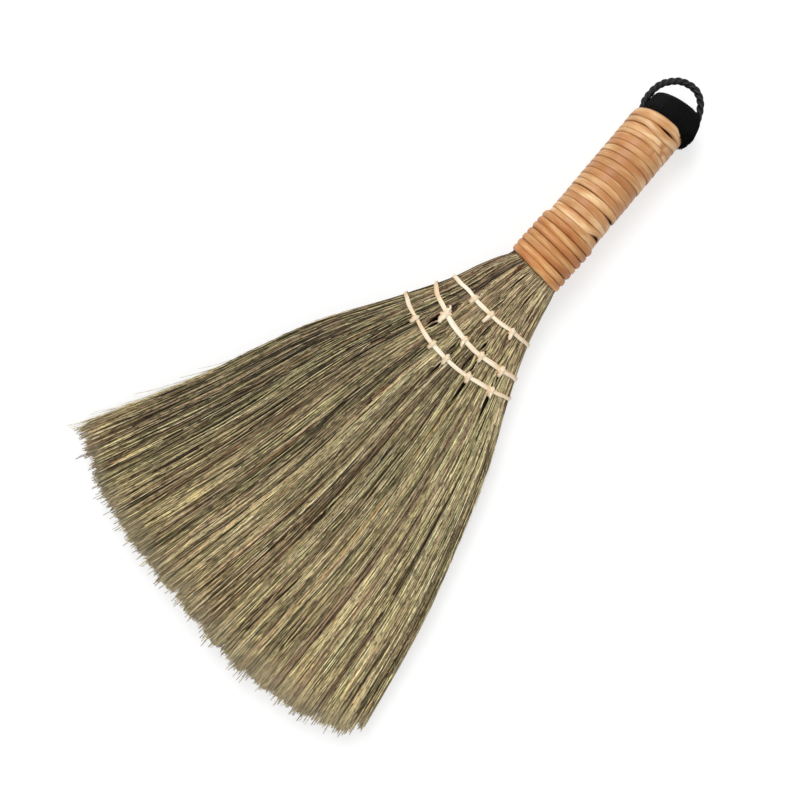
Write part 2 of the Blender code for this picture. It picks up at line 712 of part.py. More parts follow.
def floor_cutter(guides):
    """A slab whose top is the floor, which leaves the collar and the lowest strands flat where they rest."""
    deep = COLLAR_RADIUS
    wide = REACH_LEFT + REACH_RIGHT
    long = FAN_LENGTH + HANDLE_TOP
    bpy.ops.mesh.primitive_cube_add(size=1)
    made = bpy.context.object
    data = made.data
    bpy.data.objects.remove(made, do_unlink=True)
    data.transform(Matrix.Diagonal((2 * wide, 2 * long, deep, 1)))
    made = place("floor", data, guides)
    made.location = (0, 0, -FLOOR_BELOW_AXIS - deep / 2)
    return made


def build():
    clear_scene()
    parts = collection("straw_hand_broom")
    guides = collection("cutters_and_guides")
    frame = bpy.data.objects.new("broom_frame", None)
    parts.objects.link(frame)
    straw = material("straw", (0.42, 0.38, 0.20), 0.75)
    stalks = material("stalks", (0.50, 0.40, 0.22), 0.8)
    rattan = material("rattan", (0.67, 0.37, 0.15), 0.45)
    collar_cane = material("collar_cane", (0.66, 0.31, 0.12), 0.5)
    cane = material("cream_cane", (0.88, 0.73, 0.49), 0.5)
    twine = material("twine", (0.55, 0.42, 0.26), 0.85)
    fibre = material("black_fibre", (0.012, 0.013, 0.015), 0.8)
    rope = material("black_rope", (0.010, 0.011, 0.013), 0.6)

    floor = floor_cutter(guides)
    core = turned_core(parts, stalks)
    tie("lower_tie", TIE_SHARES[0], parts, twine)
    tie("upper_tie", TIE_SHARES[1], parts, twine)
    collar = winding("collar_winding", COLLAR_WIDTH / 2, COLLAR_PITCH, COLLAR_TURNS, COLLAR_RADIUS,
                     COLLAR_CANE, COLLAR_CROWN_SHARE, parts, guides, collar_cane)
    boolean(collar, floor)
    winding("grip_winding", GRIP_START, GRIP_PITCH, GRIP_TURNS, GRIP_RADIUS, GRIP_PEEL, 1,
            parts, guides, rattan)
    cap = fibre_cap(parts, fibre)
    boolean(cap, core_socket(guides))
    for channel in rope_pieces(parts, guides, rope):
        boolean(core, channel)
        boolean(cap, channel)

    slots = []
    for name, at, u, below in lashings():
        stitch(name, at, u, parts, cane)
        slots.append(slot("slot_" + name, at, u, below, guides))
    for number, (low, high) in enumerate(zip(LOCK_EDGE_SHARES, LOCK_EDGE_SHARES[1:]), 1):
        lock = place(f"straw_bundle_{number}", backing(number, low, high), parts, straw)
        for cutter in slots:
            boolean(lock, cutter)
        boolean(lock, strands(number, low, high, guides), "UNION")
        boolean(lock, floor)
    band("band_upper", UPPER_BAND_AT, parts, guides, cane)
    band("band_middle", MIDDLE_BAND_AT, parts, guides, cane)
    band("band_lower", LOWER_BAND_AT, parts, guides, cane)
    stand_on_origin(parts, frame)


def stand_on_origin(parts, frame):
    """Moves the empty so that the middle of the underside of the broom, without its loop, is the origin."""
    bpy.context.view_layer.update()
    view = bpy.context.evaluated_depsgraph_get()
    low, high = np.full(3, np.inf), np.full(3, -np.inf)
    for item in parts.objects:
        if item.type == "EMPTY" or item.name == "hang_loop":
            continue
        seen = item.evaluated_get(view)
        data = seen.to_mesh()
        points = np.empty(len(data.vertices) * 3)
        data.vertices.foreach_get("co", points)
        world = points.reshape(-1, 3) @ np.array(item.matrix_world.to_3x3()).T + np.array(item.matrix_world)[:3, 3]
        seen.to_mesh_clear()
        low, high = np.minimum(low, world.min(0)), np.maximum(high, world.max(0))
    frame.location = (-(low[0] + high[0]) / 2, -(low[1] + high[1]) / 2, -low[2])
    bpy.context.view_layer.update()
    shift = np.array(frame.location)
    print(f"handle frame sits at {np.round(shift / MM, 3).tolist()} mm")
    print(f"hinge axis passes {np.round((np.array([0, HINGE_AT, 0]) + shift) / MM, 3).tolist()} mm")
    print(f"box {np.round((high - low) / MM, 2).tolist()} mm, lowest {low[2] / MM:.3f} below the axis")


build()
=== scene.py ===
"""Dresses a straw hand broom: a straw fan, rattan windings, cane lashings, a fibre cap and a rope loop.

Every shape is worked out in the handle's own frame, in metres: +Y runs up the handle's axis from the
collar's lower edge to the loop, +X is across the fan and +Z is up from the surface the broom lies on.
Workshop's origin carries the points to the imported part's place.
"""

from __future__ import annotations

import json
import logging
import math
from dataclasses import dataclass
from enum import Enum
from typing import Sequence, Union

import bpy
import numpy as np
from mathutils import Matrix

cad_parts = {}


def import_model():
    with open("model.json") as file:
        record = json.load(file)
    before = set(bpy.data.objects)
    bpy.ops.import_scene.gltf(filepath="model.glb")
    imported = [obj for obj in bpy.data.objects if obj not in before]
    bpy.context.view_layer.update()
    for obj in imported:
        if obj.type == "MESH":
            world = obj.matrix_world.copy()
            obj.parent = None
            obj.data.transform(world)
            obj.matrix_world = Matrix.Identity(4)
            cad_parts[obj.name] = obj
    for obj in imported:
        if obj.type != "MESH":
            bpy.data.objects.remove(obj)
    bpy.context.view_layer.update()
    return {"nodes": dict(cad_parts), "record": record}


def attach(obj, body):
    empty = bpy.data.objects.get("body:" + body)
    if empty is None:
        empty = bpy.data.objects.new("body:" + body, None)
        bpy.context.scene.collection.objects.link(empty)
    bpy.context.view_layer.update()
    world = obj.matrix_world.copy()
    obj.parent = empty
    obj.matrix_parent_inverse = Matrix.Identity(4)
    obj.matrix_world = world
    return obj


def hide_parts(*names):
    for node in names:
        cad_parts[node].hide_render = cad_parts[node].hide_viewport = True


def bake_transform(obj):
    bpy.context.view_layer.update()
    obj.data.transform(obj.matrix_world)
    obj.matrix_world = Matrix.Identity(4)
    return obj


LOG = logging.getLogger("hand_broom")
MM = 0.001
TURN = 2 * math.pi
FLOOR_BELOW = 0.01525
FLOOR_CLEAR = 0.1 * MM
HANDLE_TOP = 95.2 * MM
GRIP_RADIUS = 14.4 * MM
LOCK_SEED, STRAY_SEED, COAT_SEED, BAND_SEED, KNOT_SEED = 700, 91, 33, 17, 1000
Colour = tuple[float, float, float]
Stops = Sequence[tuple[float, Colour]]
Values = Union[np.ndarray, float]
Socket = bpy.types.NodeSocket
Source = Union[Socket, float, Colour]


def srgb(red: float, green: float, blue: float) -> Colour:
    """Turns display values from 0 to 255 into linear ones: the power 2.4 curve with its straight foot."""
    made = []
    for value in (red, green, blue):
        share = value / 255
        made.append(share / 12.92 if share <= 0.04045 else ((share + 0.055) / 1.055) ** 2.4)
    return made[0], made[1], made[2]


def smooth_step(low: float, high: float, values: np.ndarray) -> np.ndarray:
    """Goes from 0 at low to 1 at high as 3 t squared less 2 t cubed."""
    t = np.clip((values - low) / (high - low), 0, 1)
    return t * t * (3 - 2 * t)


def unit(vectors: np.ndarray) -> np.ndarray:
    """Each vector divided by its own length."""
    return vectors / np.maximum(np.linalg.norm(vectors, axis=-1, keepdims=True), 1e-12)


def stacked(*parts: Values) -> np.ndarray:
    """Puts the parts side by side on a new last axis, each spread to the shape that they share."""
    return np.stack(np.broadcast_arrays(*parts), axis=-1)


def all_round(count: int) -> np.ndarray:
    """Angles spread evenly over a full turn, without its end."""
    return np.linspace(0, TURN, count, endpoint=False)


def tube_faces(rows: int, around: int, closed: bool) -> tuple[np.ndarray, np.ndarray]:
    """Numbers the faces of a skin through rings of points.

    Args:
        rows: how many rings there are.
        around: how many points a ring has.
        closed: whether the last ring joins the first.

    Returns:
        The four-sided faces, and the three-sided ones that close both open ends from a ring's first point.
    """
    i, j = np.arange(rows if closed else rows - 1)[:, None], np.arange(around)
    low, high, after = i * around, (i + 1) % rows * around, (j + 1) % around
    quads = stacked(low + j, low + after, high + after, high + j).reshape(-1, 4)
    k = np.arange(1, 1 if closed else around - 1)
    first = stacked(0, k + 1, k)
    return quads, np.vstack([first, first[:, [0, 2, 1]] + (rows - 1) * around])


class Surface:
    """Points, faces, colours and strip coordinates of one mesh before it becomes an object."""

    STEMS_APART = 0.731

    def __init__(self) -> None:
        """Starts with nothing in it."""
        self.points: list[np.ndarray] = []
        self.quads: list[np.ndarray] = []
        self.tris: list[np.ndarray] = []
        self.tints: list[np.ndarray] = []
        self.strips: list[np.ndarray] = []
        self.count = 0

    def add(self, points: np.ndarray, quads: np.ndarray, tris: np.ndarray, tint: np.ndarray,
            strip: np.ndarray) -> None:
        """Adds one body of points and faces.

        Args:
            points: places, with any number of axes before the last.
            quads: four-sided faces, numbered from 0 within this body.
            tris: three-sided faces, numbered the same way.
            tint: four values for each point that the finishes read, or what spreads to them.
            strip: two places for each point along and across the strip, in metres, likewise.
        """
        shape = points.shape[:-1]
        self.points.append(points.reshape(-1, 3))
        self.quads.append(quads + self.count)
        self.tris.append(tris + self.count)
        self.tints.append(np.broadcast_to(tint, (*shape, 4)).reshape(-1, 4))
        self.strips.append(np.broadcast_to(strip, (*shape, 2)).reshape(-1, 2))
        self.count += math.prod(shape)

    def tube(self, rings: np.ndarray, tint: np.ndarray, strip: Values = 0.0, closed: bool = False) -> Surface:
        """Adds a skin through rings of points.

        Args:
            rings: rows by around by 3 places, turning the same way in each ring.
            tint: rows by around by 4 values, or what spreads to them.
            strip: rows by around by 2 values, likewise.
            closed: whether the last ring joins the first.

        Returns:
            This surface.
        """
        self.add(rings, *tube_faces(*rings.shape[:2], closed), tint, strip)
        return self

    def hairs(self, lines: np.ndarray, radii: np.ndarray, tint: np.ndarray, sides: int = 3) -> Surface:
        """Adds many thin tapering stems at once.

        Each ring stands across its line: side is the line's direction crossed with up, and the ring's
        points are the middle plus the radius times the turned side and up vectors.

        Args:
            lines: stems by rings by 3 places.
            radii: stems by rings radii, or what spreads to them.
            tint: stems by rings by 4 values, likewise.
            sides: how many faces go round a stem.

        Returns:
            This surface.
        """
        stems, rows = lines.shape[:2]
        way = unit(np.gradient(lines, axis=1))
        lean = np.where(np.abs(way[..., 2:3]) > 0.9, np.array([1.0, 0, 0]), np.array([0, 0, 1.0]))
        side = unit(np.cross(way, lean))[:, :, None]
        up = np.cross(side, way[:, :, None])
        turn = (TURN * (np.arange(sides) + 0.5) / sides)[:, None]
        ring = side * np.cos(turn) + up * np.sin(turn)
        points = lines[:, :, None] + ring * np.broadcast_to(radii, (stems, rows))[..., None, None]
        quads, tris = tube_faces(rows, sides, False)
        starts = (np.arange(stems) * rows * sides)[:, None, None]
        quads = (quads[:, [0, 3, 2, 1]] + starts).reshape(-1, 4)
        tris = (tris[:, [0, 2, 1]].reshape(2, 1, -1, 3) + starts).reshape(-1, 3)
        run = np.cumsum(np.linalg.norm(np.diff(lines, axis=1, prepend=lines[:, :1]), axis=2), axis=1)
        own = np.arange(stems)[:, None, None] * self.STEMS_APART + np.zeros(sides)
        self.add(points, quads, tris, tint[..., None, :], stacked(run[:, :, None], own))
        return self

    def make(self, name: str, origin: np.ndarray, finish: bpy.types.Material) -> bpy.types.Object:
        """Puts the mesh into the scene as a smooth object at the world's origin.

        Args:
            name: the object's name.
            origin: where the handle's frame lies in the world.
            finish: its material.

        Returns:
            The new object.
        """
        points = np.vstack(self.points) + origin
        quads, tris = np.vstack(self.quads), np.vstack(self.tris)
        loops = np.concatenate([quads.ravel(), tris.ravel()])
        totals = np.concatenate([np.full(len(quads), 4), np.full(len(tris), 3)])
        starts = np.concatenate([[0], np.cumsum(totals)[:-1]])
        mesh = bpy.data.meshes.new(name)
        mesh.vertices.add(len(points))
        mesh.vertices.foreach_set("co", points.astype(np.float32).ravel())
        mesh.loops.add(len(loops))
        mesh.loops.foreach_set("vertex_index", loops.astype(np.int32))
        mesh.polygons.add(len(totals))
        mesh.polygons.foreach_set("loop_start", starts.astype(np.int32))
        mesh.polygons.foreach_set("loop_total", totals.astype(np.int32))
        mesh.update(calc_edges=True)
        mesh.polygons.foreach_set("use_smooth", np.ones(len(totals), bool))
        tints = mesh.attributes.new("tint", "FLOAT_COLOR", "POINT")
        tints.data.foreach_set("color", np.vstack(self.tints).astype(np.float32).ravel())
        layer = mesh.uv_layers.new(name="strip")
        layer.data.foreach_set("uv", np.vstack(self.strips)[loops].astype(np.float32).ravel())
        mesh.materials.append(finish)
        mesh.update()
        made = bpy.data.objects.new(name, mesh)
        bpy.context.scene.collection.objects.link(made)
        LOG.info("%s: %d points, %d triangles", name, len(points), 2 * len(quads) + len(tris))
        return made


def swept(line: np.ndarray, up: np.ndarray, across: np.ndarray, high: np.ndarray,
          closed: bool = False) -> np.ndarray:
    """Carries a section along a line.

    The ring's points are the line's point plus across times the side vector plus high times the lift
    vector, where side is the line's direction crossed with up and lift is square to both.

    Args:
        line: n by 3 places.
        up: the vector that the section's top faces, one for all rings or one for each.
        across: section places sideways, one row for all rings or one for each.
        high: section places upwards, likewise.
        closed: whether the line joins its own start.

    Returns:
        n by m by 3 places.
    """
    if closed:
        way = unit(np.roll(line, -1, axis=0) - np.roll(line, 1, axis=0))
    else:
        way = unit(np.gradient(line, axis=0))
    side = unit(np.cross(way, up))
    lift = np.cross(side, way)
    return line[:, None] + side[:, None] * across[..., None] + lift[:, None] * high[..., None]


def run_along(line: np.ndarray) -> np.ndarray:
    """The length of the line up to each of its points."""
    return np.concatenate([[0], np.cumsum(np.linalg.norm(np.diff(line, axis=0), axis=1))])


def smooth_route(points: Sequence[Sequence[float]], step: float, parts: int = 24) -> np.ndarray:
    """A Catmull-Rom curve through the points, cut into even steps.

    Args:
        points: the route's own points.
        step: how far apart the new points are.
        parts: how finely the curve is followed between two of its own points.

    Returns:
        n by 3 places.
    """
    given = np.asarray(points, float)
    ends = np.vstack([2 * given[0] - given[1], given, 2 * given[-1] - given[-2]])
    a, b, c, d = ends[:-3, None], ends[1:-2, None], ends[2:-1, None], ends[3:, None]
    t = np.linspace(0, 1, parts, endpoint=False)[None, :, None]
    fine = 0.5 * (2 * b + (c - a) * t + (2 * a - 5 * b + 4 * c - d) * t**2 + (3 * b - a - 3 * c + d) * t**3)
    fine = np.vstack([fine.reshape(-1, given.shape[1]), given[-1]])
    run = run_along(fine)
    at = np.linspace(0, run[-1], max(3, round(run[-1] / step) + 1))
    return np.stack([np.interp(at, run, column) for column in fine.T], axis=1)


def wander(rng: np.random.Generator, count: int, knots: int, size: float) -> np.ndarray:
    """A smooth random line of count values: cosine blends between knots that spread evenly round zero."""
    marks = rng.normal(0, size, knots + 1)
    at = np.linspace(0, knots, count)
    k = np.minimum(at.astype(int), knots - 1)
    blend = (1 - np.cos((at - k) * math.pi)) / 2
    return marks[k] * (1 - blend) + marks[k + 1] * blend


# Finishes


class Nodes:
    """A tree of shader nodes, with short calls that add and join them."""

    def __init__(self, tree: bpy.types.NodeTree) -> None:
        """Takes the tree that gets the nodes."""
        self.tree = tree

    def join(self, source: Source, target: Socket) -> None:
        """Links a socket to the target, or writes a plain number or colour to it."""
        if isinstance(source, Socket):
            self.tree.links.new(source, target)
        else:
            target.default_value = (*source, 1) if isinstance(source, tuple) else source

    def node(self, kind: str, inputs: dict[str | int, Source], **settings: object) -> bpy.types.Node:
        """Adds a node.

        Args:
            kind: the node's type.
            inputs: what goes into its inputs, by their names or places.
            settings: its named properties.

        Returns:
            The new node.
        """
        made = self.tree.nodes.new(kind)
        for name, value in settings.items():
            setattr(made, name, value)
        for place, source in inputs.items():
            self.join(source, made.inputs[place])
        return made


class Recipe(Nodes):
    """One material's nodes, with the few textures and mixes that the finishes are made of."""

    def __init__(self, name: str, roughness: float, specular: float) -> None:
        """Makes a material with its plain shader.

        Args:
            name: the material's name.
            roughness: the shader's roughness.
            specular: the shader's specular level.
        """
        self.material = bpy.data.materials.new(name)
        self.material.use_nodes = True
        super().__init__(self.material.node_tree)
        self.shader = self.tree.nodes["Principled BSDF"].inputs
        self.join(roughness, self.shader["Roughness"])
        self.join(specular, self.shader["Specular IOR Level"])

    def tint(self) -> tuple[Socket, Socket, Socket]:
        """The three values that each point of a mesh carries in its tint."""
        source = self.node("ShaderNodeAttribute", {}, attribute_name="tint", attribute_type="GEOMETRY")
        split = self.node("ShaderNodeSeparateColor", {"Color": source.outputs["Color"]})
        return split.outputs["Red"], split.outputs["Green"], split.outputs["Blue"]

    def stretched(self, source: str, scale: Sequence[float]) -> Socket:
        """The Object or UV coordinates, times the three factors."""
        place = self.node("ShaderNodeTexCoord", {}).outputs[source]
        mapping = self.node("ShaderNodeMapping", {"Vector": place})
        mapping.inputs["Scale"].default_value = scale
        return mapping.outputs["Vector"]

    def noise(self, vector: Socket, scale: float, detail: float = 3.0, rough: float = 0.55) -> Socket:
        """Noise from 0 to 1 at the given scale on the vector."""
        return self.node("ShaderNodeTexNoise", {
            "Vector": vector, "Scale": scale, "Detail": detail, "Roughness": rough}).outputs["Fac"]

    def ramp(self, factor: Socket, stops: Stops) -> Socket:
        """A colour for each factor, blended between the stops."""
        made = self.node("ShaderNodeValToRGB", {"Fac": factor})
        line = made.color_ramp
        while len(line.elements) < len(stops):
            line.elements.new(0.5)
        for element, (at, colour) in zip(line.elements, stops):
            element.position = at
            element.color = (*colour, 1)
        return made.outputs["Color"]

    def mix(self, blend: str, factor: Source, one: Socket, other: Source) -> Socket:
        """Mixes two colours in the way that blend names."""
        return self.node("ShaderNodeMix", {"Factor": factor, "A": one, "B": other}, data_type="RGBA",
                         blend_type=blend).outputs["Result"]

    def times(self, hue: Socket, factor: Socket, stops: Stops, share: float = 1.0) -> Socket:
        """The hue times the colour that the factor picks between the stops, as far as share says."""
        return self.mix("MULTIPLY", share, hue, self.ramp(factor, stops))

    def between(self, value: Socket, low: float, high: float, to_low: float, to_high: float) -> Socket:
        """Carries a value from one range to another, kept inside it."""
        return self.node("ShaderNodeMapRange", {
            "Value": value, "From Min": low, "From Max": high, "To Min": to_low, "To Max": to_high,
        }).outputs["Result"]

    def bump(self, height: Socket, distance: float) -> None:
        """Raises the shader's surface by height times distance."""
        made = self.node("ShaderNodeBump", {"Height": height, "Distance": distance})
        self.join(made.outputs["Normal"], self.shader["Normal"])

    def colour(self, source: Socket) -> None:
        """Gives the shader its colour."""
        self.join(source, self.shader["Base Color"])

    def rough(self, source: Socket, low: float, high: float) -> None:
        """Gives the shader a roughness between two values that follows the source."""
        self.join(self.between(source, 0.25, 0.75, low, high), self.shader["Roughness"])


@dataclass(frozen=True)
class StrawFinish:
    """Dry straw: each stem has its own kind of colour, its own shade, which also carries painted shade, and
    paler ends.
    """

    name: str = "straw"
    mottle_scale: float = 260.0
    kinds: Stops = (
        (0.00, srgb(96, 66, 44)), (0.11, srgb(144, 118, 94)), (0.25, srgb(174, 150, 118)),
        (0.42, srgb(182, 166, 124)), (0.58, srgb(182, 175, 126)), (0.74, srgb(204, 192, 152)),
        (0.90, srgb(228, 216, 182)), (1.00, srgb(178, 122, 76)),
    )
    mottles: Stops = ((0.36, (0.24, 0.21, 0.18)), (0.48, (0.96, 0.96, 0.95)), (0.64, (1.46, 1.46, 1.43)))
    shades: Stops = (
        (0.0, (0.08, 0.068, 0.056)), (0.3, (0.48, 0.46, 0.43)), (0.6, (1.12, 1.12, 1.12)),
        (1.0, (1.70, 1.73, 1.84)),
    )
    bleached: Stops = ((0.52, (1.0, 1.0, 1.0)), (0.92, (1.25, 1.23, 1.21)))
    tip: Colour = srgb(218, 204, 172)

    def make(self) -> bpy.types.Material:
        """Builds the material: kind picks the hue, shade scales it with the stem's tone and its painted
        shade, mottles run along each stem.
        """
        book = Recipe(self.name, 0.62, 0.35)
        shade, along, kind = book.tint()
        spots = book.noise(book.stretched("UV", (1, 1, 1)), self.mottle_scale)
        hue = book.times(book.ramp(kind, self.kinds), spots, self.mottles, 0.9)
        # The shade channel carries painted shade from the stems: deep stems and tuft edges come out darker.
        hue = book.times(book.times(hue, shade, self.shades), along, self.bleached)
        book.colour(book.mix("MIX", book.between(along, 0.955, 1.0, 0.0, 0.55), hue, self.tip))
        book.rough(spots, 0.5, 0.78)
        return book.material


@dataclass(frozen=True)
class CaneFinish:
    """Split cane or rattan peel: fine grain along the strip, blotches, and brown edges."""

    name: str
    light: Colour
    middle: Colour
    deep: Colour
    edge: Colour
    gloss: float
    grain: float
    grain_depth: float
    edge_share: float
    blotch_scale: float = 150.0
    edge_patch_scale: float = 90.0
    lines: Stops = ((0.30, (0.76, 0.69, 0.60)), (0.52, (1.0, 1.0, 1.0)), (0.72, (1.12, 1.12, 1.10)))
    shades: Stops = ((0.0, (0.80, 0.74, 0.66)), (0.5, (1.0, 1.0, 1.0)), (1.0, (1.10, 1.12, 1.12)))

    def make(self) -> bpy.types.Material:
        """Builds the material from the strip's own coordinates: fibres run along it."""
        book = Recipe(self.name, self.gloss, 0.45)
        shade, edge, turn = book.tint()
        fibres = book.noise(book.stretched("UV", (0.02, 1, 1)), self.grain, 2.0, 0.6)
        blotch = book.noise(book.stretched("UV", (0.24, 1, 1)), self.blotch_scale, 3.0, 0.6)
        edge_patches = book.noise(book.stretched("UV", (1, 1, 1)), self.edge_patch_scale, 2.0)
        hue = book.ramp(blotch, ((0.33, self.deep), (0.50, self.middle), (0.65, self.light)))
        hue = book.times(book.times(hue, fibres, self.lines, 0.8), shade, self.shades)
        # The strip goes brown towards its edges, in patches along it.
        rim = book.between(edge, 0.72, 1.0, 0.0, self.edge_share)
        edge_patchiness = book.between(edge_patches, 0.35, 0.6, 0.25, 1.0)
        brown = book.node("ShaderNodeMath", {0: rim, 1: edge_patchiness}, operation="MULTIPLY")
        hue = book.mix("MIX", brown.outputs[0], hue, self.edge)
        book.colour(book.mix("MIX", book.between(turn, 0.0, 1.0, 0.0, 0.85), hue, self.deep))
        book.rough(blotch, self.gloss - 0.06, self.gloss + 0.12)
        book.bump(fibres, self.grain_depth)
        return book.material


@dataclass(frozen=True)
class FibreFinish:
    """Stiff black fibre or rope yarn, with a dull gloss and a few brown hairs."""

    name: str
    dark: Colour
    lighter: Colour
    gloss: float
    yarn: float
    shine: float
    yarn_depth: float = 0.00012
    shades: Stops = ((0.0, (0.7, 0.7, 0.7)), (0.8, (1.1, 1.1, 1.1)), (1.0, (3.2, 2.3, 1.8)))

    def make(self) -> bpy.types.Material:
        """Builds the material: hairs run along the strip's own direction."""
        book = Recipe(self.name, self.gloss, self.shine)
        shade, _, _ = book.tint()
        hairs = book.noise(book.stretched("UV", (0.12, 1, 1)), self.yarn, 2.0, 0.6)
        hue = book.ramp(hairs, ((0.35, self.dark), (0.75, self.lighter)))
        # The shade channel scales the colour: on the rope it carries painted shade and highlight from its
        # strands, on the cap's coat it picks a few brown hairs.
        book.colour(book.times(hue, shade, self.shades))
        book.rough(hairs, self.gloss - 0.08, self.gloss + 0.2)
        book.bump(hairs, self.yarn_depth)
        return book.material


@dataclass(frozen=True)
class StalkFinish:
    """Stalks, twine and the painted shade inside the fan: two browns in streaks that run down the handle."""

    name: str
    dark: Colour
    light: Colour
    streak: tuple[float, float, float] = (1.0, 0.05, 1.0)
    streak_scale: float = 900.0
    streak_depth: float = 0.0003

    def make(self) -> bpy.types.Material:
        """Builds the material from streaks that are stretched along the handle."""
        book = Recipe(self.name, 0.8, 0.2)
        streaks = book.noise(book.stretched("Object", self.streak), self.streak_scale)
        book.colour(book.ramp(streaks, ((0.35, self.dark), (0.65, self.light))))
        book.bump(streaks, self.streak_depth)
        return book.material


class Finish(Enum):
    """Every finish on the broom, with the record's slot that it belongs to."""

    STRAW = "straw"
    PAINTED_SHADE_HEART = "straw_heart_painted_shade"
    STALKS = "stalks"
    RATTAN = "rattan"
    COLLAR = "collar_cane"
    CREAM = "cream_cane"
    TWINE = "twine"
    FIBRE = "black_fibre"
    ROPE = "black_rope"

    @property
    def slot(self) -> str:
        """The record's slot."""
        return "straw" if self is Finish.PAINTED_SHADE_HEART else self.value


FINISHES = (
    StrawFinish(),
    # The fan's heart: near-black browns that paint the shade deep inside the straw.
    StalkFinish("straw_heart_painted_shade", srgb(20, 15, 9), srgb(48, 38, 24)),
    StalkFinish("stalks", srgb(64, 36, 22), srgb(124, 84, 52)),
    CaneFinish("rattan", srgb(250, 212, 162), srgb(218, 163, 106), srgb(188, 122, 68), srgb(120, 66, 28),
               gloss=0.40, grain=1500.0, grain_depth=0.00006, edge_share=0.75),
    CaneFinish("collar_cane", srgb(237, 184, 124), srgb(210, 145, 85), srgb(180, 104, 49), srgb(92, 42, 14),
               gloss=0.46, grain=1400.0, grain_depth=0.00006, edge_share=0.85),
    CaneFinish("cream_cane", srgb(255, 248, 228), srgb(255, 238, 210), srgb(236, 192, 146),
               srgb(214, 170, 124), gloss=0.5, grain=3000.0, grain_depth=0.00004, edge_share=0.4),
    StalkFinish("twine", srgb(120, 92, 56), srgb(176, 146, 100), (1, 1, 1)),
    FibreFinish("black_fibre", srgb(5, 5, 7), srgb(18, 18, 19), gloss=0.60, yarn=1400.0, shine=0.10),
    FibreFinish("black_rope", srgb(5, 5, 6), srgb(33, 30, 31), gloss=0.36, yarn=1500.0, shine=0.24),
)


@dataclass(frozen=True)
class Workshop:
    """What every maker needs: the frame's place, the finishes and the way to hand over a piece."""

    origin: np.ndarray
    finishes: dict[Finish, bpy.types.Material]

    def hand_over(self, skin: Surface, name: str, finish: Finish, *nodes: str) -> None:
        """Makes a piece of a surface, and says what it rides on and stands for.

        Args:
            skin: the surface.
            name: the piece's name.
            finish: its finish.
            nodes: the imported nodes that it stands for.
        """
        piece = skin.make(name, self.origin, self.finishes[finish])
        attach(piece, "broom")
        if nodes:
            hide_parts(*nodes)


# Straw


@dataclass(frozen=True)
class Fan:
    """The straw fan's own coordinates: u across it from edge to edge, w from back to front, and down."""

    length: float = 0.247
    neck: float = 0.01385
    reach_left: float = 0.141
    reach_right: float = 0.088
    tip_half: float = 0.009
    floor_cut: float = 0.0005
    stations: tuple[float, ...] = (0, 0.020, 0.061, 0.113, 0.202, 0.364, 0.607, 1)
    left_shares: tuple[float, ...] = (0, 0.027, 0.068, 0.112, 0.211, 0.409, 0.620, 1)
    right_shares: tuple[float, ...] = (0, 0.020, 0.051, 0.097, 0.210, 0.460, 0.728, 1)
    thin_shares: tuple[float, ...] = (0, 0.07, 0.21, 0.39, 0.74, 0.92, 0.96, 1)
    tip_across: tuple[float, ...] = (-1, -0.87, -0.66, -0.25, -0.02, 0.39, 0.70, 0.91, 1)
    tip_shares: tuple[float, ...] = (0.847, 0.869, 0.916, 0.960, 0.979, 1.007, 0.994, 0.966, 0.928)

    def along(self, down: Values, shares: Sequence[float]) -> Values:
        """Cubic pieces through the shares at the stations, with a shared slope at each station."""
        marks, values = np.array(self.stations), np.array(shares)
        slopes = np.gradient(values, marks)
        at = np.clip(down / self.length, 0, 1)
        k = np.clip(np.searchsorted(marks, at, side="right") - 1, 0, len(marks) - 2)
        wide = marks[k + 1] - marks[k]
        t = (at - marks[k]) / wide
        start = (2 * t**3 - 3 * t**2 + 1) * values[k] + (t**3 - 2 * t**2 + t) * wide * slopes[k]
        return start + (3 * t**2 - 2 * t**3) * values[k + 1] + (t**3 - t**2) * wide * slopes[k + 1]

    def half_thickness(self, down: Values) -> Values:
        """Half of the fan's thickness at its middle: from the neck's radius to the tips' half thickness."""
        return self.neck + (self.tip_half - self.neck) * self.along(down, self.thin_shares)

    def edges(self, down: Values) -> tuple[Values, Values]:
        """Where the left and right edges lie."""
        left = -self.neck - (self.reach_left - self.neck) * self.along(down, self.left_shares)
        right = self.neck + (self.reach_right - self.neck) * self.along(down, self.right_shares)
        return left, right

    def point(self, u: Values, w: Values, down: Values) -> np.ndarray:
        """A place in the fan: x between the edges by u, z a droop down the fan plus w half thicknesses."""
        left, right = self.edges(down)
        droop = (FLOOR_BELOW - self.tip_half + self.floor_cut) / self.length
        x = left + (right - left) * (u + 1) / 2
        return stacked(x, -down, -droop * np.maximum(0, down) + w * self.half_thickness(down))

    def tip(self, u: Values) -> Values:
        """How far down the straw ends at u."""
        return self.length * np.interp(u, self.tip_across, self.tip_shares)


@dataclass(frozen=True)
class BandPlace:
    """Where one band lies at the left edge, the middle and the right edge, and the lashings on it.

    Gaps are half the width in mm of the opening at each lashing, and the openings end a parting's length
    below the band. The stain says how brown the band's left end is.
    """

    name: str
    left: float
    middle: float
    right: float
    lashings: tuple[float, ...]
    gaps: tuple[float, ...]
    parting: float
    width: float
    stain: float

    def down(self, u: Values) -> Values:
        """A parabola through the three places."""
        bow = (self.left + self.right) / 2 - self.middle
        return self.middle + (self.right - self.left) / 2 * u + bow * u * u


BANDS = (
    BandPlace("upper", 28.2 * MM, 31.9 * MM, 30.2 * MM, (-0.369, 0.06, 0.58), (1.0, 1.1, 1.5),
              parting=10 * MM, width=2.2 * MM, stain=0.1),
    BandPlace("middle", 36.7 * MM, 49.3 * MM, 46.8 * MM, (-0.42, 0.05, 0.375, 0.74), (1.9, 1.2, 1.9, 1.8),
              parting=12 * MM, width=2.6 * MM, stain=0.5),
    BandPlace("lower", 50.2 * MM, 62.3 * MM, 56.2 * MM, (-0.584, -0.189, 0.049, 0.387, 0.727),
              (1.4, 1.2, 1.8, 1.8, 1.5), parting=22 * MM, width=2.25 * MM, stain=1.1),
)


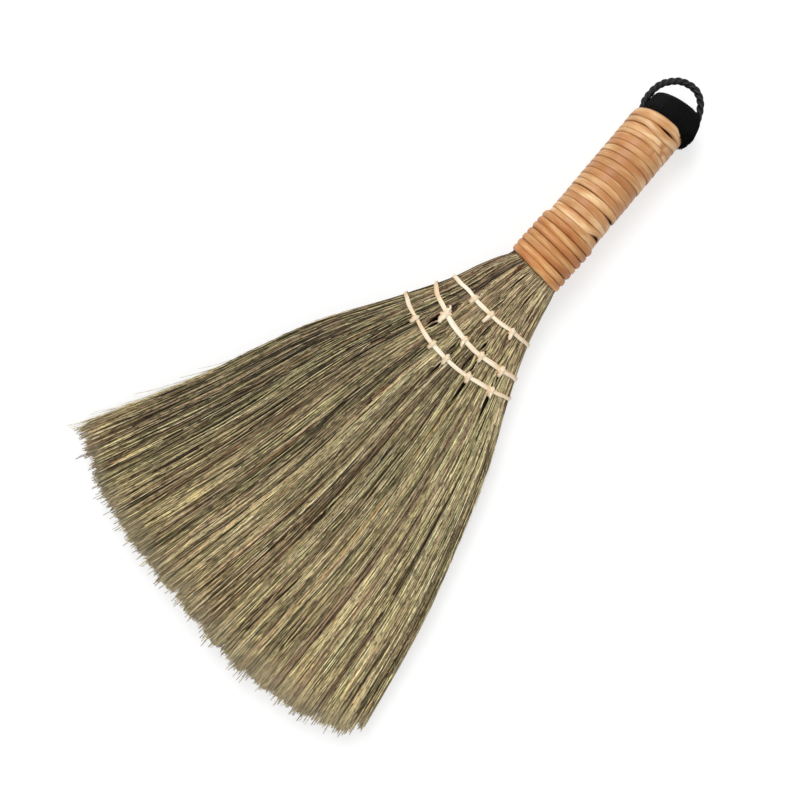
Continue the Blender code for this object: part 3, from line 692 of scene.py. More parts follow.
@dataclass(frozen=True)
class Opening:
    """A dark slit where the straws stand apart, in metres but for its gap.

    The gap is half its width in mm. Where early is less than 1, it is widest nearer to its start.
    """

    across: float
    start: float
    length: float
    gap: float
    early: float = 1.0


OPENINGS = tuple(Opening(across, start * MM, length * MM, gap) for across, start, length, gap in (
    (-0.45, 37.0, 7.5, 1.7), (-0.40, 48.5, 9.0, 1.5), (-0.22, 52.0, 9.0, 1.2), (0.02, 51.0, 10.0, 1.3),
    (0.33, 42.0, 9.0, 1.5), (0.28, 53.0, 10.0, 2.0), (0.18, 33.5, 12.0, 1.2), (-0.04, 2.5, 19.0, 0.8),
    (0.05, 21.0, 8.0, 0.9), (0.44, 5.0, 30.0, 0.9), (0.70, 12.0, 16.0, 0.7), (-0.72, 10.0, 16.0, 0.6),
    (-0.30, 70.0, 40.0, 0.7), (0.20, 80.0, 50.0, 0.8), (0.58, 74.0, 44.0, 0.8),
))
OPENING_ABOVE = 4.4 * MM
LOCK_EDGES = (-1.0, -0.584, -0.189, 0.049, 0.387, 0.727, 1.0)


@dataclass(frozen=True)
class Stem:
    """One sort of straw.

    It says how many there are, between which shares of the fan they start, how the radius runs in mm, how
    deep they lie at most, how far they stray, where their rings stand and how long their bends are.
    """

    count: int
    first_share: tuple[float, float]
    radii: tuple[float, float, float, float]
    deep: float
    stray: float
    rings: tuple[float, ...]
    bends: tuple[float, float]


CLOSE_RINGS = (*np.linspace(0, 0.32, 14)[:-1], *np.linspace(0.32, 1, 8))
UPPER_RINGS = (*np.linspace(0, 0.36, 7)[:-1], *np.linspace(0.36, 1, 6))
EVEN_RINGS = tuple(np.linspace(0, 1, 10))

STEMS = (
    Stem(2700, (-0.02, -0.012), (0.22, 0.23, 0.28, 0.25), 0.24, 0.8, CLOSE_RINGS, (0.045, 0.100)),
    Stem(2000, (0.02, 0.20), (0.08, 0.23, 0.27, 0.25), 0.34, 1.0, CLOSE_RINGS, (0.045, 0.100)),
    Stem(4800, (0.18, 0.60), (0.06, 0.25, 0.27, 0.25), 0.62, 1.3, UPPER_RINGS, (0.060, 0.130)),
    Stem(4800, (0.45, 0.86), (0.06, 0.23, 0.26, 0.24), 1.0, 1.5, EVEN_RINGS, (0.055, 0.120)),
)


@dataclass
class Sheaf:
    """All the straw: in each lock a piece of long straws and one of straw ends, then the heart of painted
    shade and strays.
    """

    fan: Fan
    tufts: int = 112
    clump: float = 0.20
    groove: float = 0.16
    front: float = 0.56
    ragged: float = 2.4 * MM
    spread: float = 2.3 * MM

    def grow_tufts(self, low: float, high: float, rng: np.random.Generator) -> dict[str, np.ndarray]:
        """Shares a lock out among its tufts.

        Args:
            low: the lock's left edge.
            high: its right edge.
            rng: random numbers.

        Returns:
            Each tuft's middle, half width, lift, lean, shortness, kind, shade, and how dark the painted shade
            at its edges is.
        """
        count = max(4, round(self.tufts * (high - low) / 2))
        edges = low + (high - low) * (np.arange(count + 1) + rng.uniform(-0.25, 0.25, count + 1)) / count
        edges[0], edges[-1] = low, high
        middle = np.where(np.abs(edges[:-1]) == 1, -0.998, (edges[:-1] + edges[1:]) / 2)
        return {
            "middle": np.where(np.abs(edges[1:]) == 1, 0.998, middle),
            "half": np.diff(edges) / 2,
            "lift": rng.normal(0, 0.035, count),
            "lean": rng.normal(0, 1.6 * MM, count),
            "short": np.abs(rng.normal(0, 1.7 * MM, count)),
            "kind": rng.normal(0.44, 0.08, count),
            "shade": rng.normal(0, 0.06, count),
            # How dark the painted shade in the groove at the tuft's edges is.
            "groove": rng.uniform(0.2, 1.8, count),
        }

    def stems(self, sort: Stem, low: float, high: float, rng: np.random.Generator,
              tuft: dict[str, np.ndarray]) -> tuple[np.ndarray, np.ndarray, np.ndarray]:
        """Grows one sort of straw in one lock.

        A stem keeps its own u. It is drawn to the middle of its tuft, sinks where tufts part, leans away
        by a random amount that grows down the fan, and is pushed aside below each lashing.

        Args:
            sort: the sort of straw.
            low: the lock's left edge.
            high: its right edge.
            rng: random numbers.
            tuft: what grow_tufts gives.

        Returns:
            The stems' lines, radii and tints.
        """
        fan, each = self.fan, (round(sort.count * (high - low) / 2), 1)
        u = rng.uniform(low, high, each)
        mine = np.argmin(np.abs(u - tuft["middle"]), axis=1)
        own = {name: values[mine][:, None] for name, values in tuft.items()}
        full = np.sqrt(np.maximum(0, 1 - u * u))
        face = np.where(rng.random(each) < self.front, 1.0, -1.0)
        w = face * (1 - sort.deep * rng.beta(0.9, 1.8, each)) * rng.normal(1, 0.035, each)
        first = rng.uniform(*sort.first_share, each) * fan.length
        ragged = np.abs(rng.normal(0, self.ragged, each)) + own["short"]
        ragged += np.where(rng.random(each) < 0.16, rng.uniform(0, 0.12, each) * fan.length, 0)
        ragged -= np.where(rng.random(each) < 0.05, rng.uniform(1.5 * MM, 5 * MM, each), 0)
        down = first + (fan.tip(u) - ragged - first) * np.array(sort.rings)
        share = np.clip(down / fan.length, 0, 1)
        hold = smooth_step(0.10, 0.32, share) * (1 - 0.55 * smooth_step(0.6, 1.0, share))
        off = np.clip((u - own["middle"]) / own["half"], -1, 1)
        across = u - off * own["half"] * self.clump * hold
        patch = self.patches(rng, across, down)
        sink = 1 - self.groove * off**2 * hold + own["lift"] * hold + 0.12 * (patch - 0.6)
        most = 1.0 + 0.16 * smooth_step(0.28, 0.42, share)
        lines = fan.point(across, np.clip(w * sink, -most, most) * full, down)
        lean = rng.normal(0, 1.6 * MM * sort.stray, each) * np.where(rng.random(each) < 0.08, 2.2, 1.0)
        lean = lean * (1 - 0.85 * smooth_step(0.86, 0.97, np.clip(np.sign(lean) * u, 0, 1)))
        start = smooth_step(0.0, 0.10, share)
        calm = 1 - 0.8 * np.abs(u) ** 4
        sideways = self.waves(rng, down, sort.bends, 0.52 * MM) * start * calm
        kinks = self.waves(rng, down, (18 * MM, 38 * MM), 0.30 * MM) * start * calm
        sideways += kinks * smooth_step(0.30, 0.20, share)
        upwards = self.waves(rng, down, sort.bends, 0.38 * MM) * start
        lines[..., 0] += lean * share**1.4 + sideways + own["lean"] * share**1.5
        lines[..., 2] += rng.normal(0, 0.45 * MM * sort.stray, each) * share * face + upwards
        lines[..., 0] += self.parted(u, lines, down)
        lines[..., 0] += 1.8 * MM * smooth_step(0.40, 0.85, share) * smooth_step(0.55, 1.0, u)
        radii = np.interp(sort.rings, (0, 0.14, 0.6, 1), sort.radii) * MM * rng.uniform(0.70, 1.28, each)
        floor = -FLOOR_BELOW + FLOOR_CLEAR + radii
        lines[..., 2] = np.maximum(lines[..., 2], floor + rng.uniform(0, 0.5 * MM, each))
        right = smooth_step(0.10, 0.80, u)
        kind = own["kind"] + rng.normal(0, 0.20, each) + 0.03 * right
        shade = 1.12 * rng.beta(0.68, 0.68, each) + own["shade"] - 0.11
        # The stems run darker towards the left edge and lighter towards the right.
        shade += 0.27 * smooth_step(-0.85, -0.05, u) + 0.09 * right
        neck, end = 1 - smooth_step(0.08, 0.30, share), smooth_step(0.55, 0.9, share)
        middle = smooth_step(0.22, 0.35, share) - end
        # Painted shade: the colour darkens at the edges of each tuft, on stems that lie deep in the fan, and
        # on stems that the patches sink.
        shade = shade - off**2 * own["groove"] * (0.20 * hold + 0.28 * end)
        ending = smooth_step(0.86, 1.0, down / fan.tip(u))
        shade += 0.20 * ending - (1 - np.abs(w)) * (0.90 - 0.62 * ending)
        shade += (0.16 + 0.46 * neck + 0.32 * end) * (patch - 0.5) + 0.05 * neck - 0.10 * middle - 0.06 * end
        kind = np.clip(kind - 0.15 * neck, 0, 1)
        return lines, radii, stacked(np.clip(shade, 0, 0.95), share + (1 - share) * ending, kind, 1.0)

    def patches(self, rng: np.random.Generator, u: np.ndarray, down: np.ndarray) -> np.ndarray:
        """Long soft patches along the straw, from 0 to 1.

        Random values stand on a grid, 44 to a unit of u and 9 to the fan's length, and every place
        between them takes the cosine blend of the four round it.
        """
        grid = rng.random((92, 12))
        across, along = (u + 1.02) * 44, np.clip(down / self.fan.length + 0.05, 0, 1.1) * 9
        i, j = np.clip(across.astype(int), 0, 90), np.clip(along.astype(int), 0, 10)
        a, b = (1 - np.cos(math.pi * (across - i))) / 2, (1 - np.cos(math.pi * (along - j))) / 2
        near = grid[i, j] * (1 - a) + grid[i + 1, j] * a
        return near * (1 - b) + (grid[i, j + 1] * (1 - a) + grid[i + 1, j + 1] * a) * b

    def waves(self, rng: np.random.Generator, down: np.ndarray, lengths: tuple[float, float],
              size: float) -> np.ndarray:
        """Each stem's own bends: a sine of its place down the fan, with its own length, start and size."""
        each = (len(down), 1)
        phase = down / rng.uniform(*lengths, each) + rng.random(each)
        return np.sin(TURN * phase) * rng.normal(0, size, each)

    def parted(self, u: np.ndarray, lines: np.ndarray, down: np.ndarray) -> np.ndarray:
        """How far each point is pushed aside by the lashings and the openings.

        A stem stays on its own side of an opening. The push falls off with the distance from the opening's
        line, as the exponential of minus the distance over the spread, and runs as a half sine from its
        start to its end.
        """
        pushed = np.zeros(lines.shape[:2])
        below = [Opening(at, band.down(at) - OPENING_ABOVE, OPENING_ABOVE + band.parting, gap, 0.62)
                 for band in BANDS for at, gap in zip(band.lashings, band.gaps)]
        for slit in (*below, *OPENINGS):
            t = np.clip((down - slit.start) / slit.length, 0, 1)
            bump = np.sin(math.pi * t**slit.early) ** 0.8
            side = np.sign(u - slit.across)
            off = np.maximum(0, side * (lines[..., 0] - self.fan.point(slit.across, 0.0, down)[..., 0]))
            pushed += side * slit.gap * MM * bump * np.exp(-off / self.spread)
        return pushed

    def make(self, shop: Workshop) -> None:
        """Makes the six locks, the heart that fills them with painted shade, the strays and the brown stalk.
        """
        for number, (low, high) in enumerate(zip(LOCK_EDGES, LOCK_EDGES[1:]), 1):
            rng = np.random.default_rng(LOCK_SEED + number)
            tuft = self.grow_tufts(low, high, rng)
            long, ends = Surface(), Surface()
            for sort in STEMS:
                into = long if sort.rings is CLOSE_RINGS else ends
                into.hairs(*self.stems(sort, low, high, rng, tuft))
            shop.hand_over(long, f"straw_lock_{number}", Finish.STRAW, f"straw_bundle_{number}")
            shop.hand_over(ends, f"straw_ends_{number}", Finish.STRAW)
        self.heart(shop)
        self.strays(shop)
        self.brown_stalk(shop)

    def heart(self, shop: Workshop) -> None:
        """The inside of the fan, dark with painted shade: rings from 0.74 of its thickness at the neck to
        0.40 at their end.
        """
        turn, t = all_round(72), np.linspace(0, 1, 30)[:, None]
        u = 0.95 * np.cos(turn) + 0 * t
        down = -3 * MM + t * (0.74 * self.fan.tip(u) + 3 * MM)
        rings = self.fan.point(u, np.sin(turn) * (0.74 - 0.34 * t), down)
        shop.hand_over(Surface().tube(rings, np.ones(4)), "straw_heart_painted_shade", Finish.PAINTED_SHADE_HEART)

    def strays(self, shop: Workshop) -> None:
        """Loose hairs that stand off the fan's edges and cross its face."""
        rng, fan, each, t = np.random.default_rng(STRAY_SEED), self.fan, (240, 1), np.linspace(0, 1, 9)
        edge = rng.random(each) < 0.5
        u = np.where(edge, np.where(rng.random(each) < 0.5, -0.985, 0.985), rng.uniform(-0.95, 0.95, each))
        w = np.sqrt(np.maximum(0, 1 - u * u)) * rng.uniform(0.95, 1.05, each)
        first = rng.uniform(0.28, 0.88, each) * fan.length
        down = np.minimum(first + rng.uniform(6, 26, each) * MM * t, fan.tip(u))
        lines = fan.point(u, w, down)
        out = np.where(edge, np.sign(u), rng.choice((-1.0, 1.0), each))
        reach = np.where(edge, rng.uniform(0.3, 1.8, each), rng.uniform(0.5, 3.0, each)) * MM
        lines[..., 0] += out * reach * t**1.6
        lines[..., 2] += rng.uniform(0.2, 1.2, each) * MM * np.sin(math.pi * t)
        lines[..., 2] = np.maximum(lines[..., 2], -FLOOR_BELOW + 0.3 * MM)
        radii = np.interp(t, (0, 0.2, 1), (0.05, 0.16, 0.06)) * MM
        tint = stacked(rng.uniform(0.4, 1, each), down / fan.length, rng.uniform(0.3, 0.95, each), 1.0)
        skin = Surface().hairs(lines, radii, tint)
        self.wisps(rng, skin)
        shop.hand_over(skin, "stray_straws", Finish.STRAW)

    def wisps(self, rng: np.random.Generator, skin: Surface) -> None:
        """Pale loose straws along the left edge, which bow away from it towards their ends."""
        fan, each, t = self.fan, (90, 1), np.linspace(0, 1, 12)
        first = rng.uniform(0.50, 0.72, each) * fan.length
        down = np.minimum(first + rng.uniform(22, 52, each) * MM * t, 0.86 * fan.length)
        u = -0.995 + np.abs(rng.normal(0, 0.012, each))
        lines = fan.point(u, rng.uniform(-0.1, 0.1, each), down)
        lines[..., 0] -= np.abs(rng.normal(0, 2.6, each)) * MM * t**1.8
        lines[..., 2] += rng.uniform(-2.5, 3.5, each) * MM * t**0.5
        radii = np.interp(t, (0, 0.3, 1), (0.06, 0.17, 0.06)) * MM
        skin.hairs(lines, radii, stacked(rng.uniform(0.55, 0.95, each), 0.75 + 0.25 * t,
                                         rng.uniform(0.2, 0.85, each), 1.0))

    def brown_stalk(self, shop: Workshop) -> None:
        """A red-brown stalk with a swollen joint, close under the collar on the front."""
        t = np.linspace(0, 1, 40)
        u = np.interp(t, (0, 0.15, 0.55, 1), (-0.38, -0.33, -0.19, -0.11))
        line = self.fan.point(u, 1.02 * np.sqrt(1 - u * u) - 0.10 * t**3, (2.4 + 29 * t) * MM)
        radius = 0.36 - 0.14 * t + 0.75 * np.exp(-((t - 0.115) / 0.040) ** 2)
        skin = Surface().hairs(line[None], radius * MM, np.array([0.30, 0.2, 1.0, 1.0]), 9)
        shop.hand_over(skin, "brown_stalk", Finish.STALKS)


# Handle


@dataclass
class Winding:
    """One strip of cane wound round the handle, flush at both rims.

    A slit says at how many degrees it lies, over how many it spreads, in which turn, and by how much the
    strip shifts there. A scar says the same but for the shift.
    """

    name: str
    node: str
    finish: Finish
    low: float
    high: float
    turns: int
    radius: float
    thickness: float
    crown: float
    overlap: float
    lean: tuple[float, ...]
    tilt: tuple[float, ...]
    seed: int
    loose: float
    shift: tuple[float, float]
    power: float
    slits: tuple[tuple[float, float, int, float], ...] = ()
    scars: tuple[tuple[float, float, int], ...] = ()
    steps: int = 96

    def make(self, shop: Workshop) -> None:
        """Winds the strip.

        The strip's middle climbs one pitch a turn, three quarters of it behind, held between the rims,
        where it sinks under the turn that lies over it. A point of its section at v across lies at the
        radius less the crown times v to the power, less v times the overlap. Each turn stands aslant by z
        times the lean plus x times the tilt, and the shift moves the axis to the right at either rim.
        """
        rng = np.random.default_rng(self.seed)
        width = (self.high - self.low) / self.turns
        half = width * (1 + self.overlap) / 2 - 0.03 * MM
        pitch = (self.high - self.low - width) / (self.turns - 1)
        count, knots = (self.turns + 1) * self.steps, (self.turns + 1) * 3
        angle = np.linspace(-TURN, TURN * self.turns, count)
        around = angle / TURN
        number = np.floor(around)
        climb = number + smooth_step(0.0, 0.5, around - number)
        free = self.low + width / 2 + pitch * (0.25 * around + 0.75 * climb)
        held = np.clip(free, self.low + width / 2, self.high - width / 2)
        line = held + wander(rng, count, knots, self.loose * width) * (free == held)
        tuck = smooth_step(0, 0.35, np.abs(free - held) / pitch)
        radius = self.radius + wander(rng, count, knots, 0.06 * MM) - 0.5 * MM * tuck
        x, z = np.cos(angle), -np.sin(angle)

        def near(at: float, spread: float) -> np.ndarray:
            """How far each ring is from at degrees, as a share of the spread."""
            off = np.arctan2(z, x) - math.radians(at)
            return np.abs((off + math.pi) % TURN - math.pi) / math.radians(spread)

        for at, spread, turn, size in self.slits:
            line += size * (number == turn) * np.cos(np.clip(near(at, spread), 0, 1) * math.pi / 2) ** 1.3
        v = np.concatenate([np.linspace(-1, 1, 11), [1.0, -1.0]])
        top = np.concatenate([np.ones(11), np.zeros(2)])
        rounded = np.abs(v) ** self.power * self.crown * top
        high = (1 - top) * -self.thickness - rounded - self.overlap * 0.9 * MM * v * top
        widths = half * (1 + wander(rng, count, knots, 0.03))
        r = radius[:, None] + high
        rise = (line - self.low) / (self.high - self.low)
        lean, tilt, offset = (np.interp(rise, np.linspace(0, 1, len(table)), table)
                              for table in (self.lean, self.tilt, self.shift))
        y = line[:, None] + widths[:, None] * v + ((lean * z + tilt * x) * self.radius)[:, None]
        above = np.maximum(r * z[:, None], 0.02 * MM - FLOOR_BELOW)
        rings = stacked(r * x[:, None] + offset[:, None], y, above)
        own = np.clip(0.5 + wander(rng, count, knots, 0.30) + 0.5 * (np.abs(around) < 0.9), 0, 1)
        ruddy = np.clip(wander(rng, count, (self.turns + 1) * 4, 0.36) - 0.6 * (np.abs(around) < 0.9), 0, 1)
        for at, spread, turn in self.scars:
            ruddy = np.maximum(ruddy, 1.15 * (number == turn) * (1 - smooth_step(0, 1, near(at, spread))))
        tint = stacked(own[:, None], np.maximum(np.abs(v), 1 - top), ruddy[:, None], 1.0)
        wound = (angle + TURN)[:, None]
        strip = stacked(self.radius * wound, half * v + np.floor(wound / TURN) * 0.017)
        shop.hand_over(Surface().tube(rings, tint, strip), self.name, self.finish, self.node)


WINDINGS = (
    Winding("collar_cane_turns", "collar_winding", Finish.COLLAR, 0, 27 * MM, turns=7, radius=15.85 * MM,
            thickness=1.45 * MM, crown=0.95 * MM, overlap=0.06, lean=(-0.150, -0.134, -0.115),
            tilt=(-0.085, -0.065, -0.045), seed=5, loose=0.05, shift=(-0.45 * MM, 0.0), power=2.6),
    Winding("grip_peel_turns", "grip_winding", Finish.RATTAN, 27.1 * MM, HANDLE_TOP, turns=18,
            radius=14.45 * MM, thickness=1.0 * MM, crown=0.28 * MM, overlap=0.30, lean=(-0.115, 0.02, 0.04),
            tilt=(-0.045, 0.03, 0.07), seed=12, loose=0.15, shift=(0.2 * MM, -0.7 * MM), power=4.0,
            slits=((68, 46, 15, -1.8 * MM), (28, 36, 0, 2.5 * MM)),
            scars=((58, 12, 14), (48, 9, 13), (66, 7, 12), (120, 20, 7))),
)


@dataclass
class FibreCap:
    """The black fibre over the stalks' ends: a dome under a coat of hairs with a frayed skirt."""

    foot: float = HANDLE_TOP
    height: float = 15.3 * MM
    slant: float = 0.15
    radius: float = GRIP_RADIUS
    spread: tuple[float, float, float] = (0.861, 1.105, 0.903)
    rises: tuple[float, ...] = (0.0, 0.06, 0.30, 0.52, 0.72, 0.86, 0.95, 1.0)
    left: tuple[float, ...] = (0.97, 0.98, 1.0, 1.0, 1.0, 0.97, 0.86, 0.02)
    right: tuple[float, ...] = (0.90, 0.94, 1.0, 0.985, 0.93, 0.83, 0.69, 0.02)
    deep: tuple[float, ...] = (0.95, 0.97, 1.0, 1.0, 0.96, 0.85, 0.62, 0.02)
    hairs: int = 4200
    right_hairs: int = 700

    def dome(self, turn: np.ndarray, rise: np.ndarray, proud: np.ndarray) -> np.ndarray:
        """A place on the dome.

        The section at each rise is an ellipse whose left, right and deep reaches run through the tables.

        Args:
            turn: the angle round the handle's axis, from the right over the front.
            rise: the share of the height.
            proud: how far outside the dome.

        Returns:
            Places, with the shape of the arguments.
        """
        left, right, deep = (share * self.radius * np.interp(rise, self.rises, table) + proud
                             for share, table in zip(self.spread, (self.left, self.right, self.deep)))
        x = (right - left) / 2 + (right + left) / 2 * np.cos(turn)
        return stacked(x, self.foot + rise * (self.height + self.slant * x), deep * np.sin(turn))

    def make(self, shop: Workshop) -> None:
        """Makes the felted dome and its coat."""
        turn = all_round(120)
        rise = np.concatenate([np.linspace(-0.30, 0.85, 26), np.linspace(0.88, 1.0, 10)])[:, None]
        ripple = 0.14 * MM * np.sin(turn * 37 + 3 * rise) + 0.1 * MM * np.sin(turn * 61 - 5 * rise)
        inside = np.where(rise < 0, -1.6 * MM, -0.35 * MM) + ripple * (rise < 0.97)
        strip = stacked(rise * self.height, turn * self.radius)
        skin = Surface().tube(self.dome(-turn, rise, inside), np.full(4, 0.4), strip)
        shop.hand_over(skin, "fibre_cap_felt", Finish.FIBRE, "fibre_cap")
        self.coat(shop)

    def coat(self, shop: Workshop) -> None:
        """Hairs that run from the skirt up over the dome, each at nearly its own angle."""
        rng, each, t = np.random.default_rng(COAT_SEED), (self.hairs, 1), np.linspace(0, 1, 8)
        turn = rng.uniform(0, TURN, each)
        turn[:self.right_hairs] = rng.normal(0.15, 0.55, (self.right_hairs, 1))
        low = rng.uniform(-0.015, 0.25, each)
        high = np.minimum(0.99, low + rng.uniform(0.35, 1.0, each))
        skirt = np.abs((turn + math.pi) % TURN - math.pi) < rng.normal(0.62, 0.16, each)
        low = np.where(skirt & (rng.random(each) < 0.5), rng.normal(0.0, 0.028, each), low)
        drift = rng.normal(0, 0.10, each) * (t - 0.5)
        proud = rng.uniform(-0.25, 0.28, each) * MM
        flare = np.where(skirt, rng.uniform(0, 1.5, each), rng.uniform(0, 0.2, each))
        lines = self.dome(turn + drift, low + (high - low) * t, proud + flare * MM * (1 - t) ** 3)
        radii = np.interp(t, (0, 0.2, 0.8, 1), (0.09, 0.17, 0.15, 0.05)) * MM
        skin = Surface().hairs(lines, radii, rng.random((self.hairs, 1, 1)))
        shop.hand_over(skin, "fibre_cap_coat", Finish.FIBRE)


@dataclass
class Rope:
    """The black rope: three strands laid together, from under the rattan over the cap and back."""

    diameter: float = 3.5 * MM
    lay: float = 10.6 * MM
    radius: float = GRIP_RADIUS
    top: float = HANDLE_TOP
    hinge: float = 112.0 * MM
    route: tuple[tuple[float, float], ...] = (
        (-0.771, -17.2), (-0.771, -9.2), (-0.771, -1.7), (-0.875, 1.8), (-0.986, 5.3), (-1.014, 9.8),
        (-0.986, 14.4), (-0.847, 19.0), (-0.528, 23.8), (-0.146, 25.8), (0.181, 25.6), (0.472, 23.3),
        (0.660, 20.1), (0.806, 16.2), (0.924, 11.4), (0.938, 6.3), (0.861, 2.0), (0.771, -1.7),
        (0.771, -9.2), (0.771, -17.2),
    )

    def make(self, shop: Workshop) -> None:
        """Lays the rope.

        At the angle a round the rope and the length s along it, the radius is the rope's own times 0.49
        plus 0.58 times the square root of the absolute cosine of 1.5 times a less the twist at s.
        """
        line = smooth_route([(share * self.radius, self.top + past * MM, 0.0) for share, past in self.route],
                            0.3 * MM)
        run, turn = run_along(line), all_round(36)
        twist = TURN * run / self.lay
        lobes = np.abs(np.cos(1.5 * (turn - twist[:, None])))
        size = self.diameter / 2 * (0.49 + 0.58 * np.sqrt(lobes))
        rings = swept(line, np.array([0.0, 0, 1]), size * np.cos(turn), size * np.sin(turn))
        # Painted shade and highlight: darker in the grooves between the strands, lighter on their crests.
        light = 0.25 + 0.5 * lobes
        strip = stacked(run[:, None] * 0.6 + turn * 0.0009, (turn - twist[:, None]) * self.diameter / 2)
        skin = Surface().tube(rings, stacked(light, light, light, 1.0), strip)
        piece = skin.make("hanging_rope", shop.origin, shop.finishes[Finish.ROPE])
        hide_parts("hang_loop", "loop_tail_left", "loop_tail_right")
        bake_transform(piece)


# Lashings

TAILS = {
    "upper_2": ((4.2, -0.10, 0.95),), "upper_3": ((2.6, 0.35, 0.75),),
    "middle_1": ((4.0, 0.5, 1.15), (-2.6, -0.9, 0.6)), "middle_2": ((2.6, 0.6, 0.7),),
    "middle_3": ((6.0, 0.10, 0.14), (5.0, 0.35, 0.12)),
    "lower_3": ((7.0, -0.35, 0.16), (4.6, 0.20, 0.14)), "lower_5": ((2.6, 0.3, 0.5),),
}


@dataclass
class Lashings:
    """The three cane bands round the fan and the twelve stitches with their knots."""

    fan: Fan
    thickness: float = 0.8 * MM
    seat: float = 0.3 * MM

    def band(self, shop: Workshop, place: BandPlace) -> None:
        """One flat cane band: a closed strip round the fan's ellipse, pinched in at each knot."""
        rng = np.random.default_rng(len(place.name) * BAND_SEED)
        turn = all_round(180)
        u, w = np.cos(turn), np.sin(turn)
        wave = 0.30 * MM * np.sin(5 * turn + rng.uniform(0, 6)) + 0.16 * MM * np.sin(11 * turn)
        down = place.down(u) + wave
        left, right = self.fan.edges(down)
        out = unit(stacked(2 * u / (right - left), 0 * u, w / self.fan.half_thickness(down)))
        pinch = sum(np.exp(-((u - at) * (right - left) / 2 / (3 * MM)) ** 2) for at in place.lashings)
        proud = self.seat + self.thickness / 2 + 0.25 * MM * np.abs(w) - 0.4 * MM * pinch
        line = self.fan.point(u, w, down) + out * proud[:, None]
        v = np.concatenate([np.linspace(-1, 1, 7), np.linspace(1, -1, 5)])
        top = np.concatenate([np.ones(7), -np.ones(5)])
        wide = place.width / 2 * (1.0 - 0.16 * pinch + 0.07 * np.sin(7 * turn + 2)) * (0.8 + 0.2 * np.abs(w))
        across = wide[:, None] * v
        rings = swept(line, out, across, top * self.thickness / 2 * (1 - 0.45 * v**4), closed=True)
        ruddy = np.clip((-u - 0.86) * 8, 0, 1) * place.stain
        tint = stacked(0.8, np.abs(v) ** 3 * 0.7, ruddy[:, None], 1.0)
        skin = Surface().tube(rings, tint, stacked(run_along(line)[:, None], across), closed=True)
        shop.hand_over(skin, f"cane_band_{place.name}", Finish.CREAM, f"band_{place.name}")

    def strap(self, skin: Surface, line: np.ndarray, wide: np.ndarray, thick: np.ndarray,
              face: float, ruddy: float = 0.0) -> None:
        """Adds a short strap with a rounded section along a line.

        Args:
            skin: the surface that takes it.
            line: the strap's middle.
            wide: its half width at each point.
            thick: its half thickness at each point.
            face: 1 where its top faces up, -1 where it faces down.
            ruddy: how far its colour goes to the deep one.
        """
        turn, wide, thick = all_round(12), wide[:, None], thick[:, None]
        round_x = np.sign(np.cos(turn)) * np.abs(np.cos(turn)) ** 0.8
        rings = swept(line, np.array([0.0, 0, face]), wide * round_x, thick * np.sin(turn))
        rings[..., 2] = np.maximum(rings[..., 2], -FLOOR_BELOW + FLOOR_CLEAR)
        skin.tube(rings, np.array([1.0, 0.0, ruddy, 1.0]),
                  stacked(run_along(line)[:, None], wide * np.cos(turn)))

    def stitch(self, shop: Workshop, place: BandPlace, number: int, u: float) -> None:
        """One lashing: straps over the band in front and behind, legs through the straw, wraps and tails."""
        rng = np.random.default_rng(KNOT_SEED + 31 * number + 7 * len(place.name))
        down = place.down(u)
        here = self.fan.point(u, 0.0, down)
        ahead = self.fan.point(u, 0.0, down + 6 * MM) - here
        way = ahead / np.linalg.norm(ahead)
        side = np.array([-way[1], way[0], 0.0])
        full = math.sqrt(1 - u * u) * self.fan.half_thickness(down)
        skin = Surface()
        big = place.name == "middle" and number == 1
        size = (1.3 if big else 0.85) * rng.uniform(0.9, 1.12)
        over = self.seat + self.thickness + 0.55 * MM
        s = np.array([-2.3, -2.5, -2.2, -1.5, -0.7, 0.0, 0.8, 1.8, 2.9, 3.2, 3.0]) * size * MM
        rise = np.array([-3.2, -1.6, -0.35, 0.35, 0.85, 1.0, 0.95, 0.6, 0.10, -1.6, -3.2])
        for face, lean in ((1.0, rng.normal(0.0, 0.22)), (-1.0, rng.normal(0.0, 0.15))):
            line = here + way * s[:, None] + side * (s * lean)[:, None]
            line[:, 2] = here[2] + face * (full + np.where(rise > 0, rise * over, rise * MM))
            line = smooth_route(line, 0.25 * MM)
            t = np.linspace(0, 1, len(line))
            wide = np.interp(t, (0, 0.2, 0.5, 0.8, 1), (0.6, 0.9, 1.1, 1.15, 0.9)) * MM * size
            thick = np.interp(t, (0, 0.2, 0.5, 0.8, 1), (0.5, 0.6, 0.5, 0.6, 0.5)) * MM
            self.strap(skin, line, wide, thick, face)
        for at in (-2.1, 2.3):
            line = here + way * at * MM + np.zeros((14, 3))
            line[:, 2] = here[2] + np.linspace(-1, 1, 14) * (full - 0.6 * MM)
            self.leg(skin, line, 0.6 * MM)
        top = here[2] + full + over
        for turn_by, lift in ((rng.uniform(0.45, 0.8), 0.30), (-rng.uniform(0.5, 0.9), 0.10)):
            axis = way * math.cos(turn_by) + side * math.sin(turn_by)
            reach = np.array([-2.2, -1.7, -0.9, 0.0, 0.9, 1.7, 2.2]) * size * MM
            line = here + axis * reach[:, None]
            line[:, 2] = top + np.array([-2.4, -1.1, -0.15, lift, -0.15, -1.1, -2.4]) * MM
            line = smooth_route(line, 0.25 * MM)
            swell = np.full(len(line), 0.62 * MM) * size
            self.strap(skin, line, swell, swell * 0.7, 1.0, rng.uniform(0, 0.14))
        for long, swing, wide in TAILS.get(f"{place.name}_{number}", ()):
            self.tail(skin, here, way, side, top, long * MM, swing, wide * MM)
        shop.hand_over(skin, f"cane_knot_{place.name}_{number}", Finish.CREAM,
                       f"stitch_{place.name}_{number}")

    def leg(self, skin: Surface, line: np.ndarray, radius: float) -> None:
        """A round strand straight through the straw."""
        turn = all_round(8)
        rings = swept(line, np.array([0.0, 1.0, 0]), radius * np.cos(turn), radius * np.sin(turn))
        skin.tube(rings, np.array([0.4, 0.0, 0.3, 1.0]))

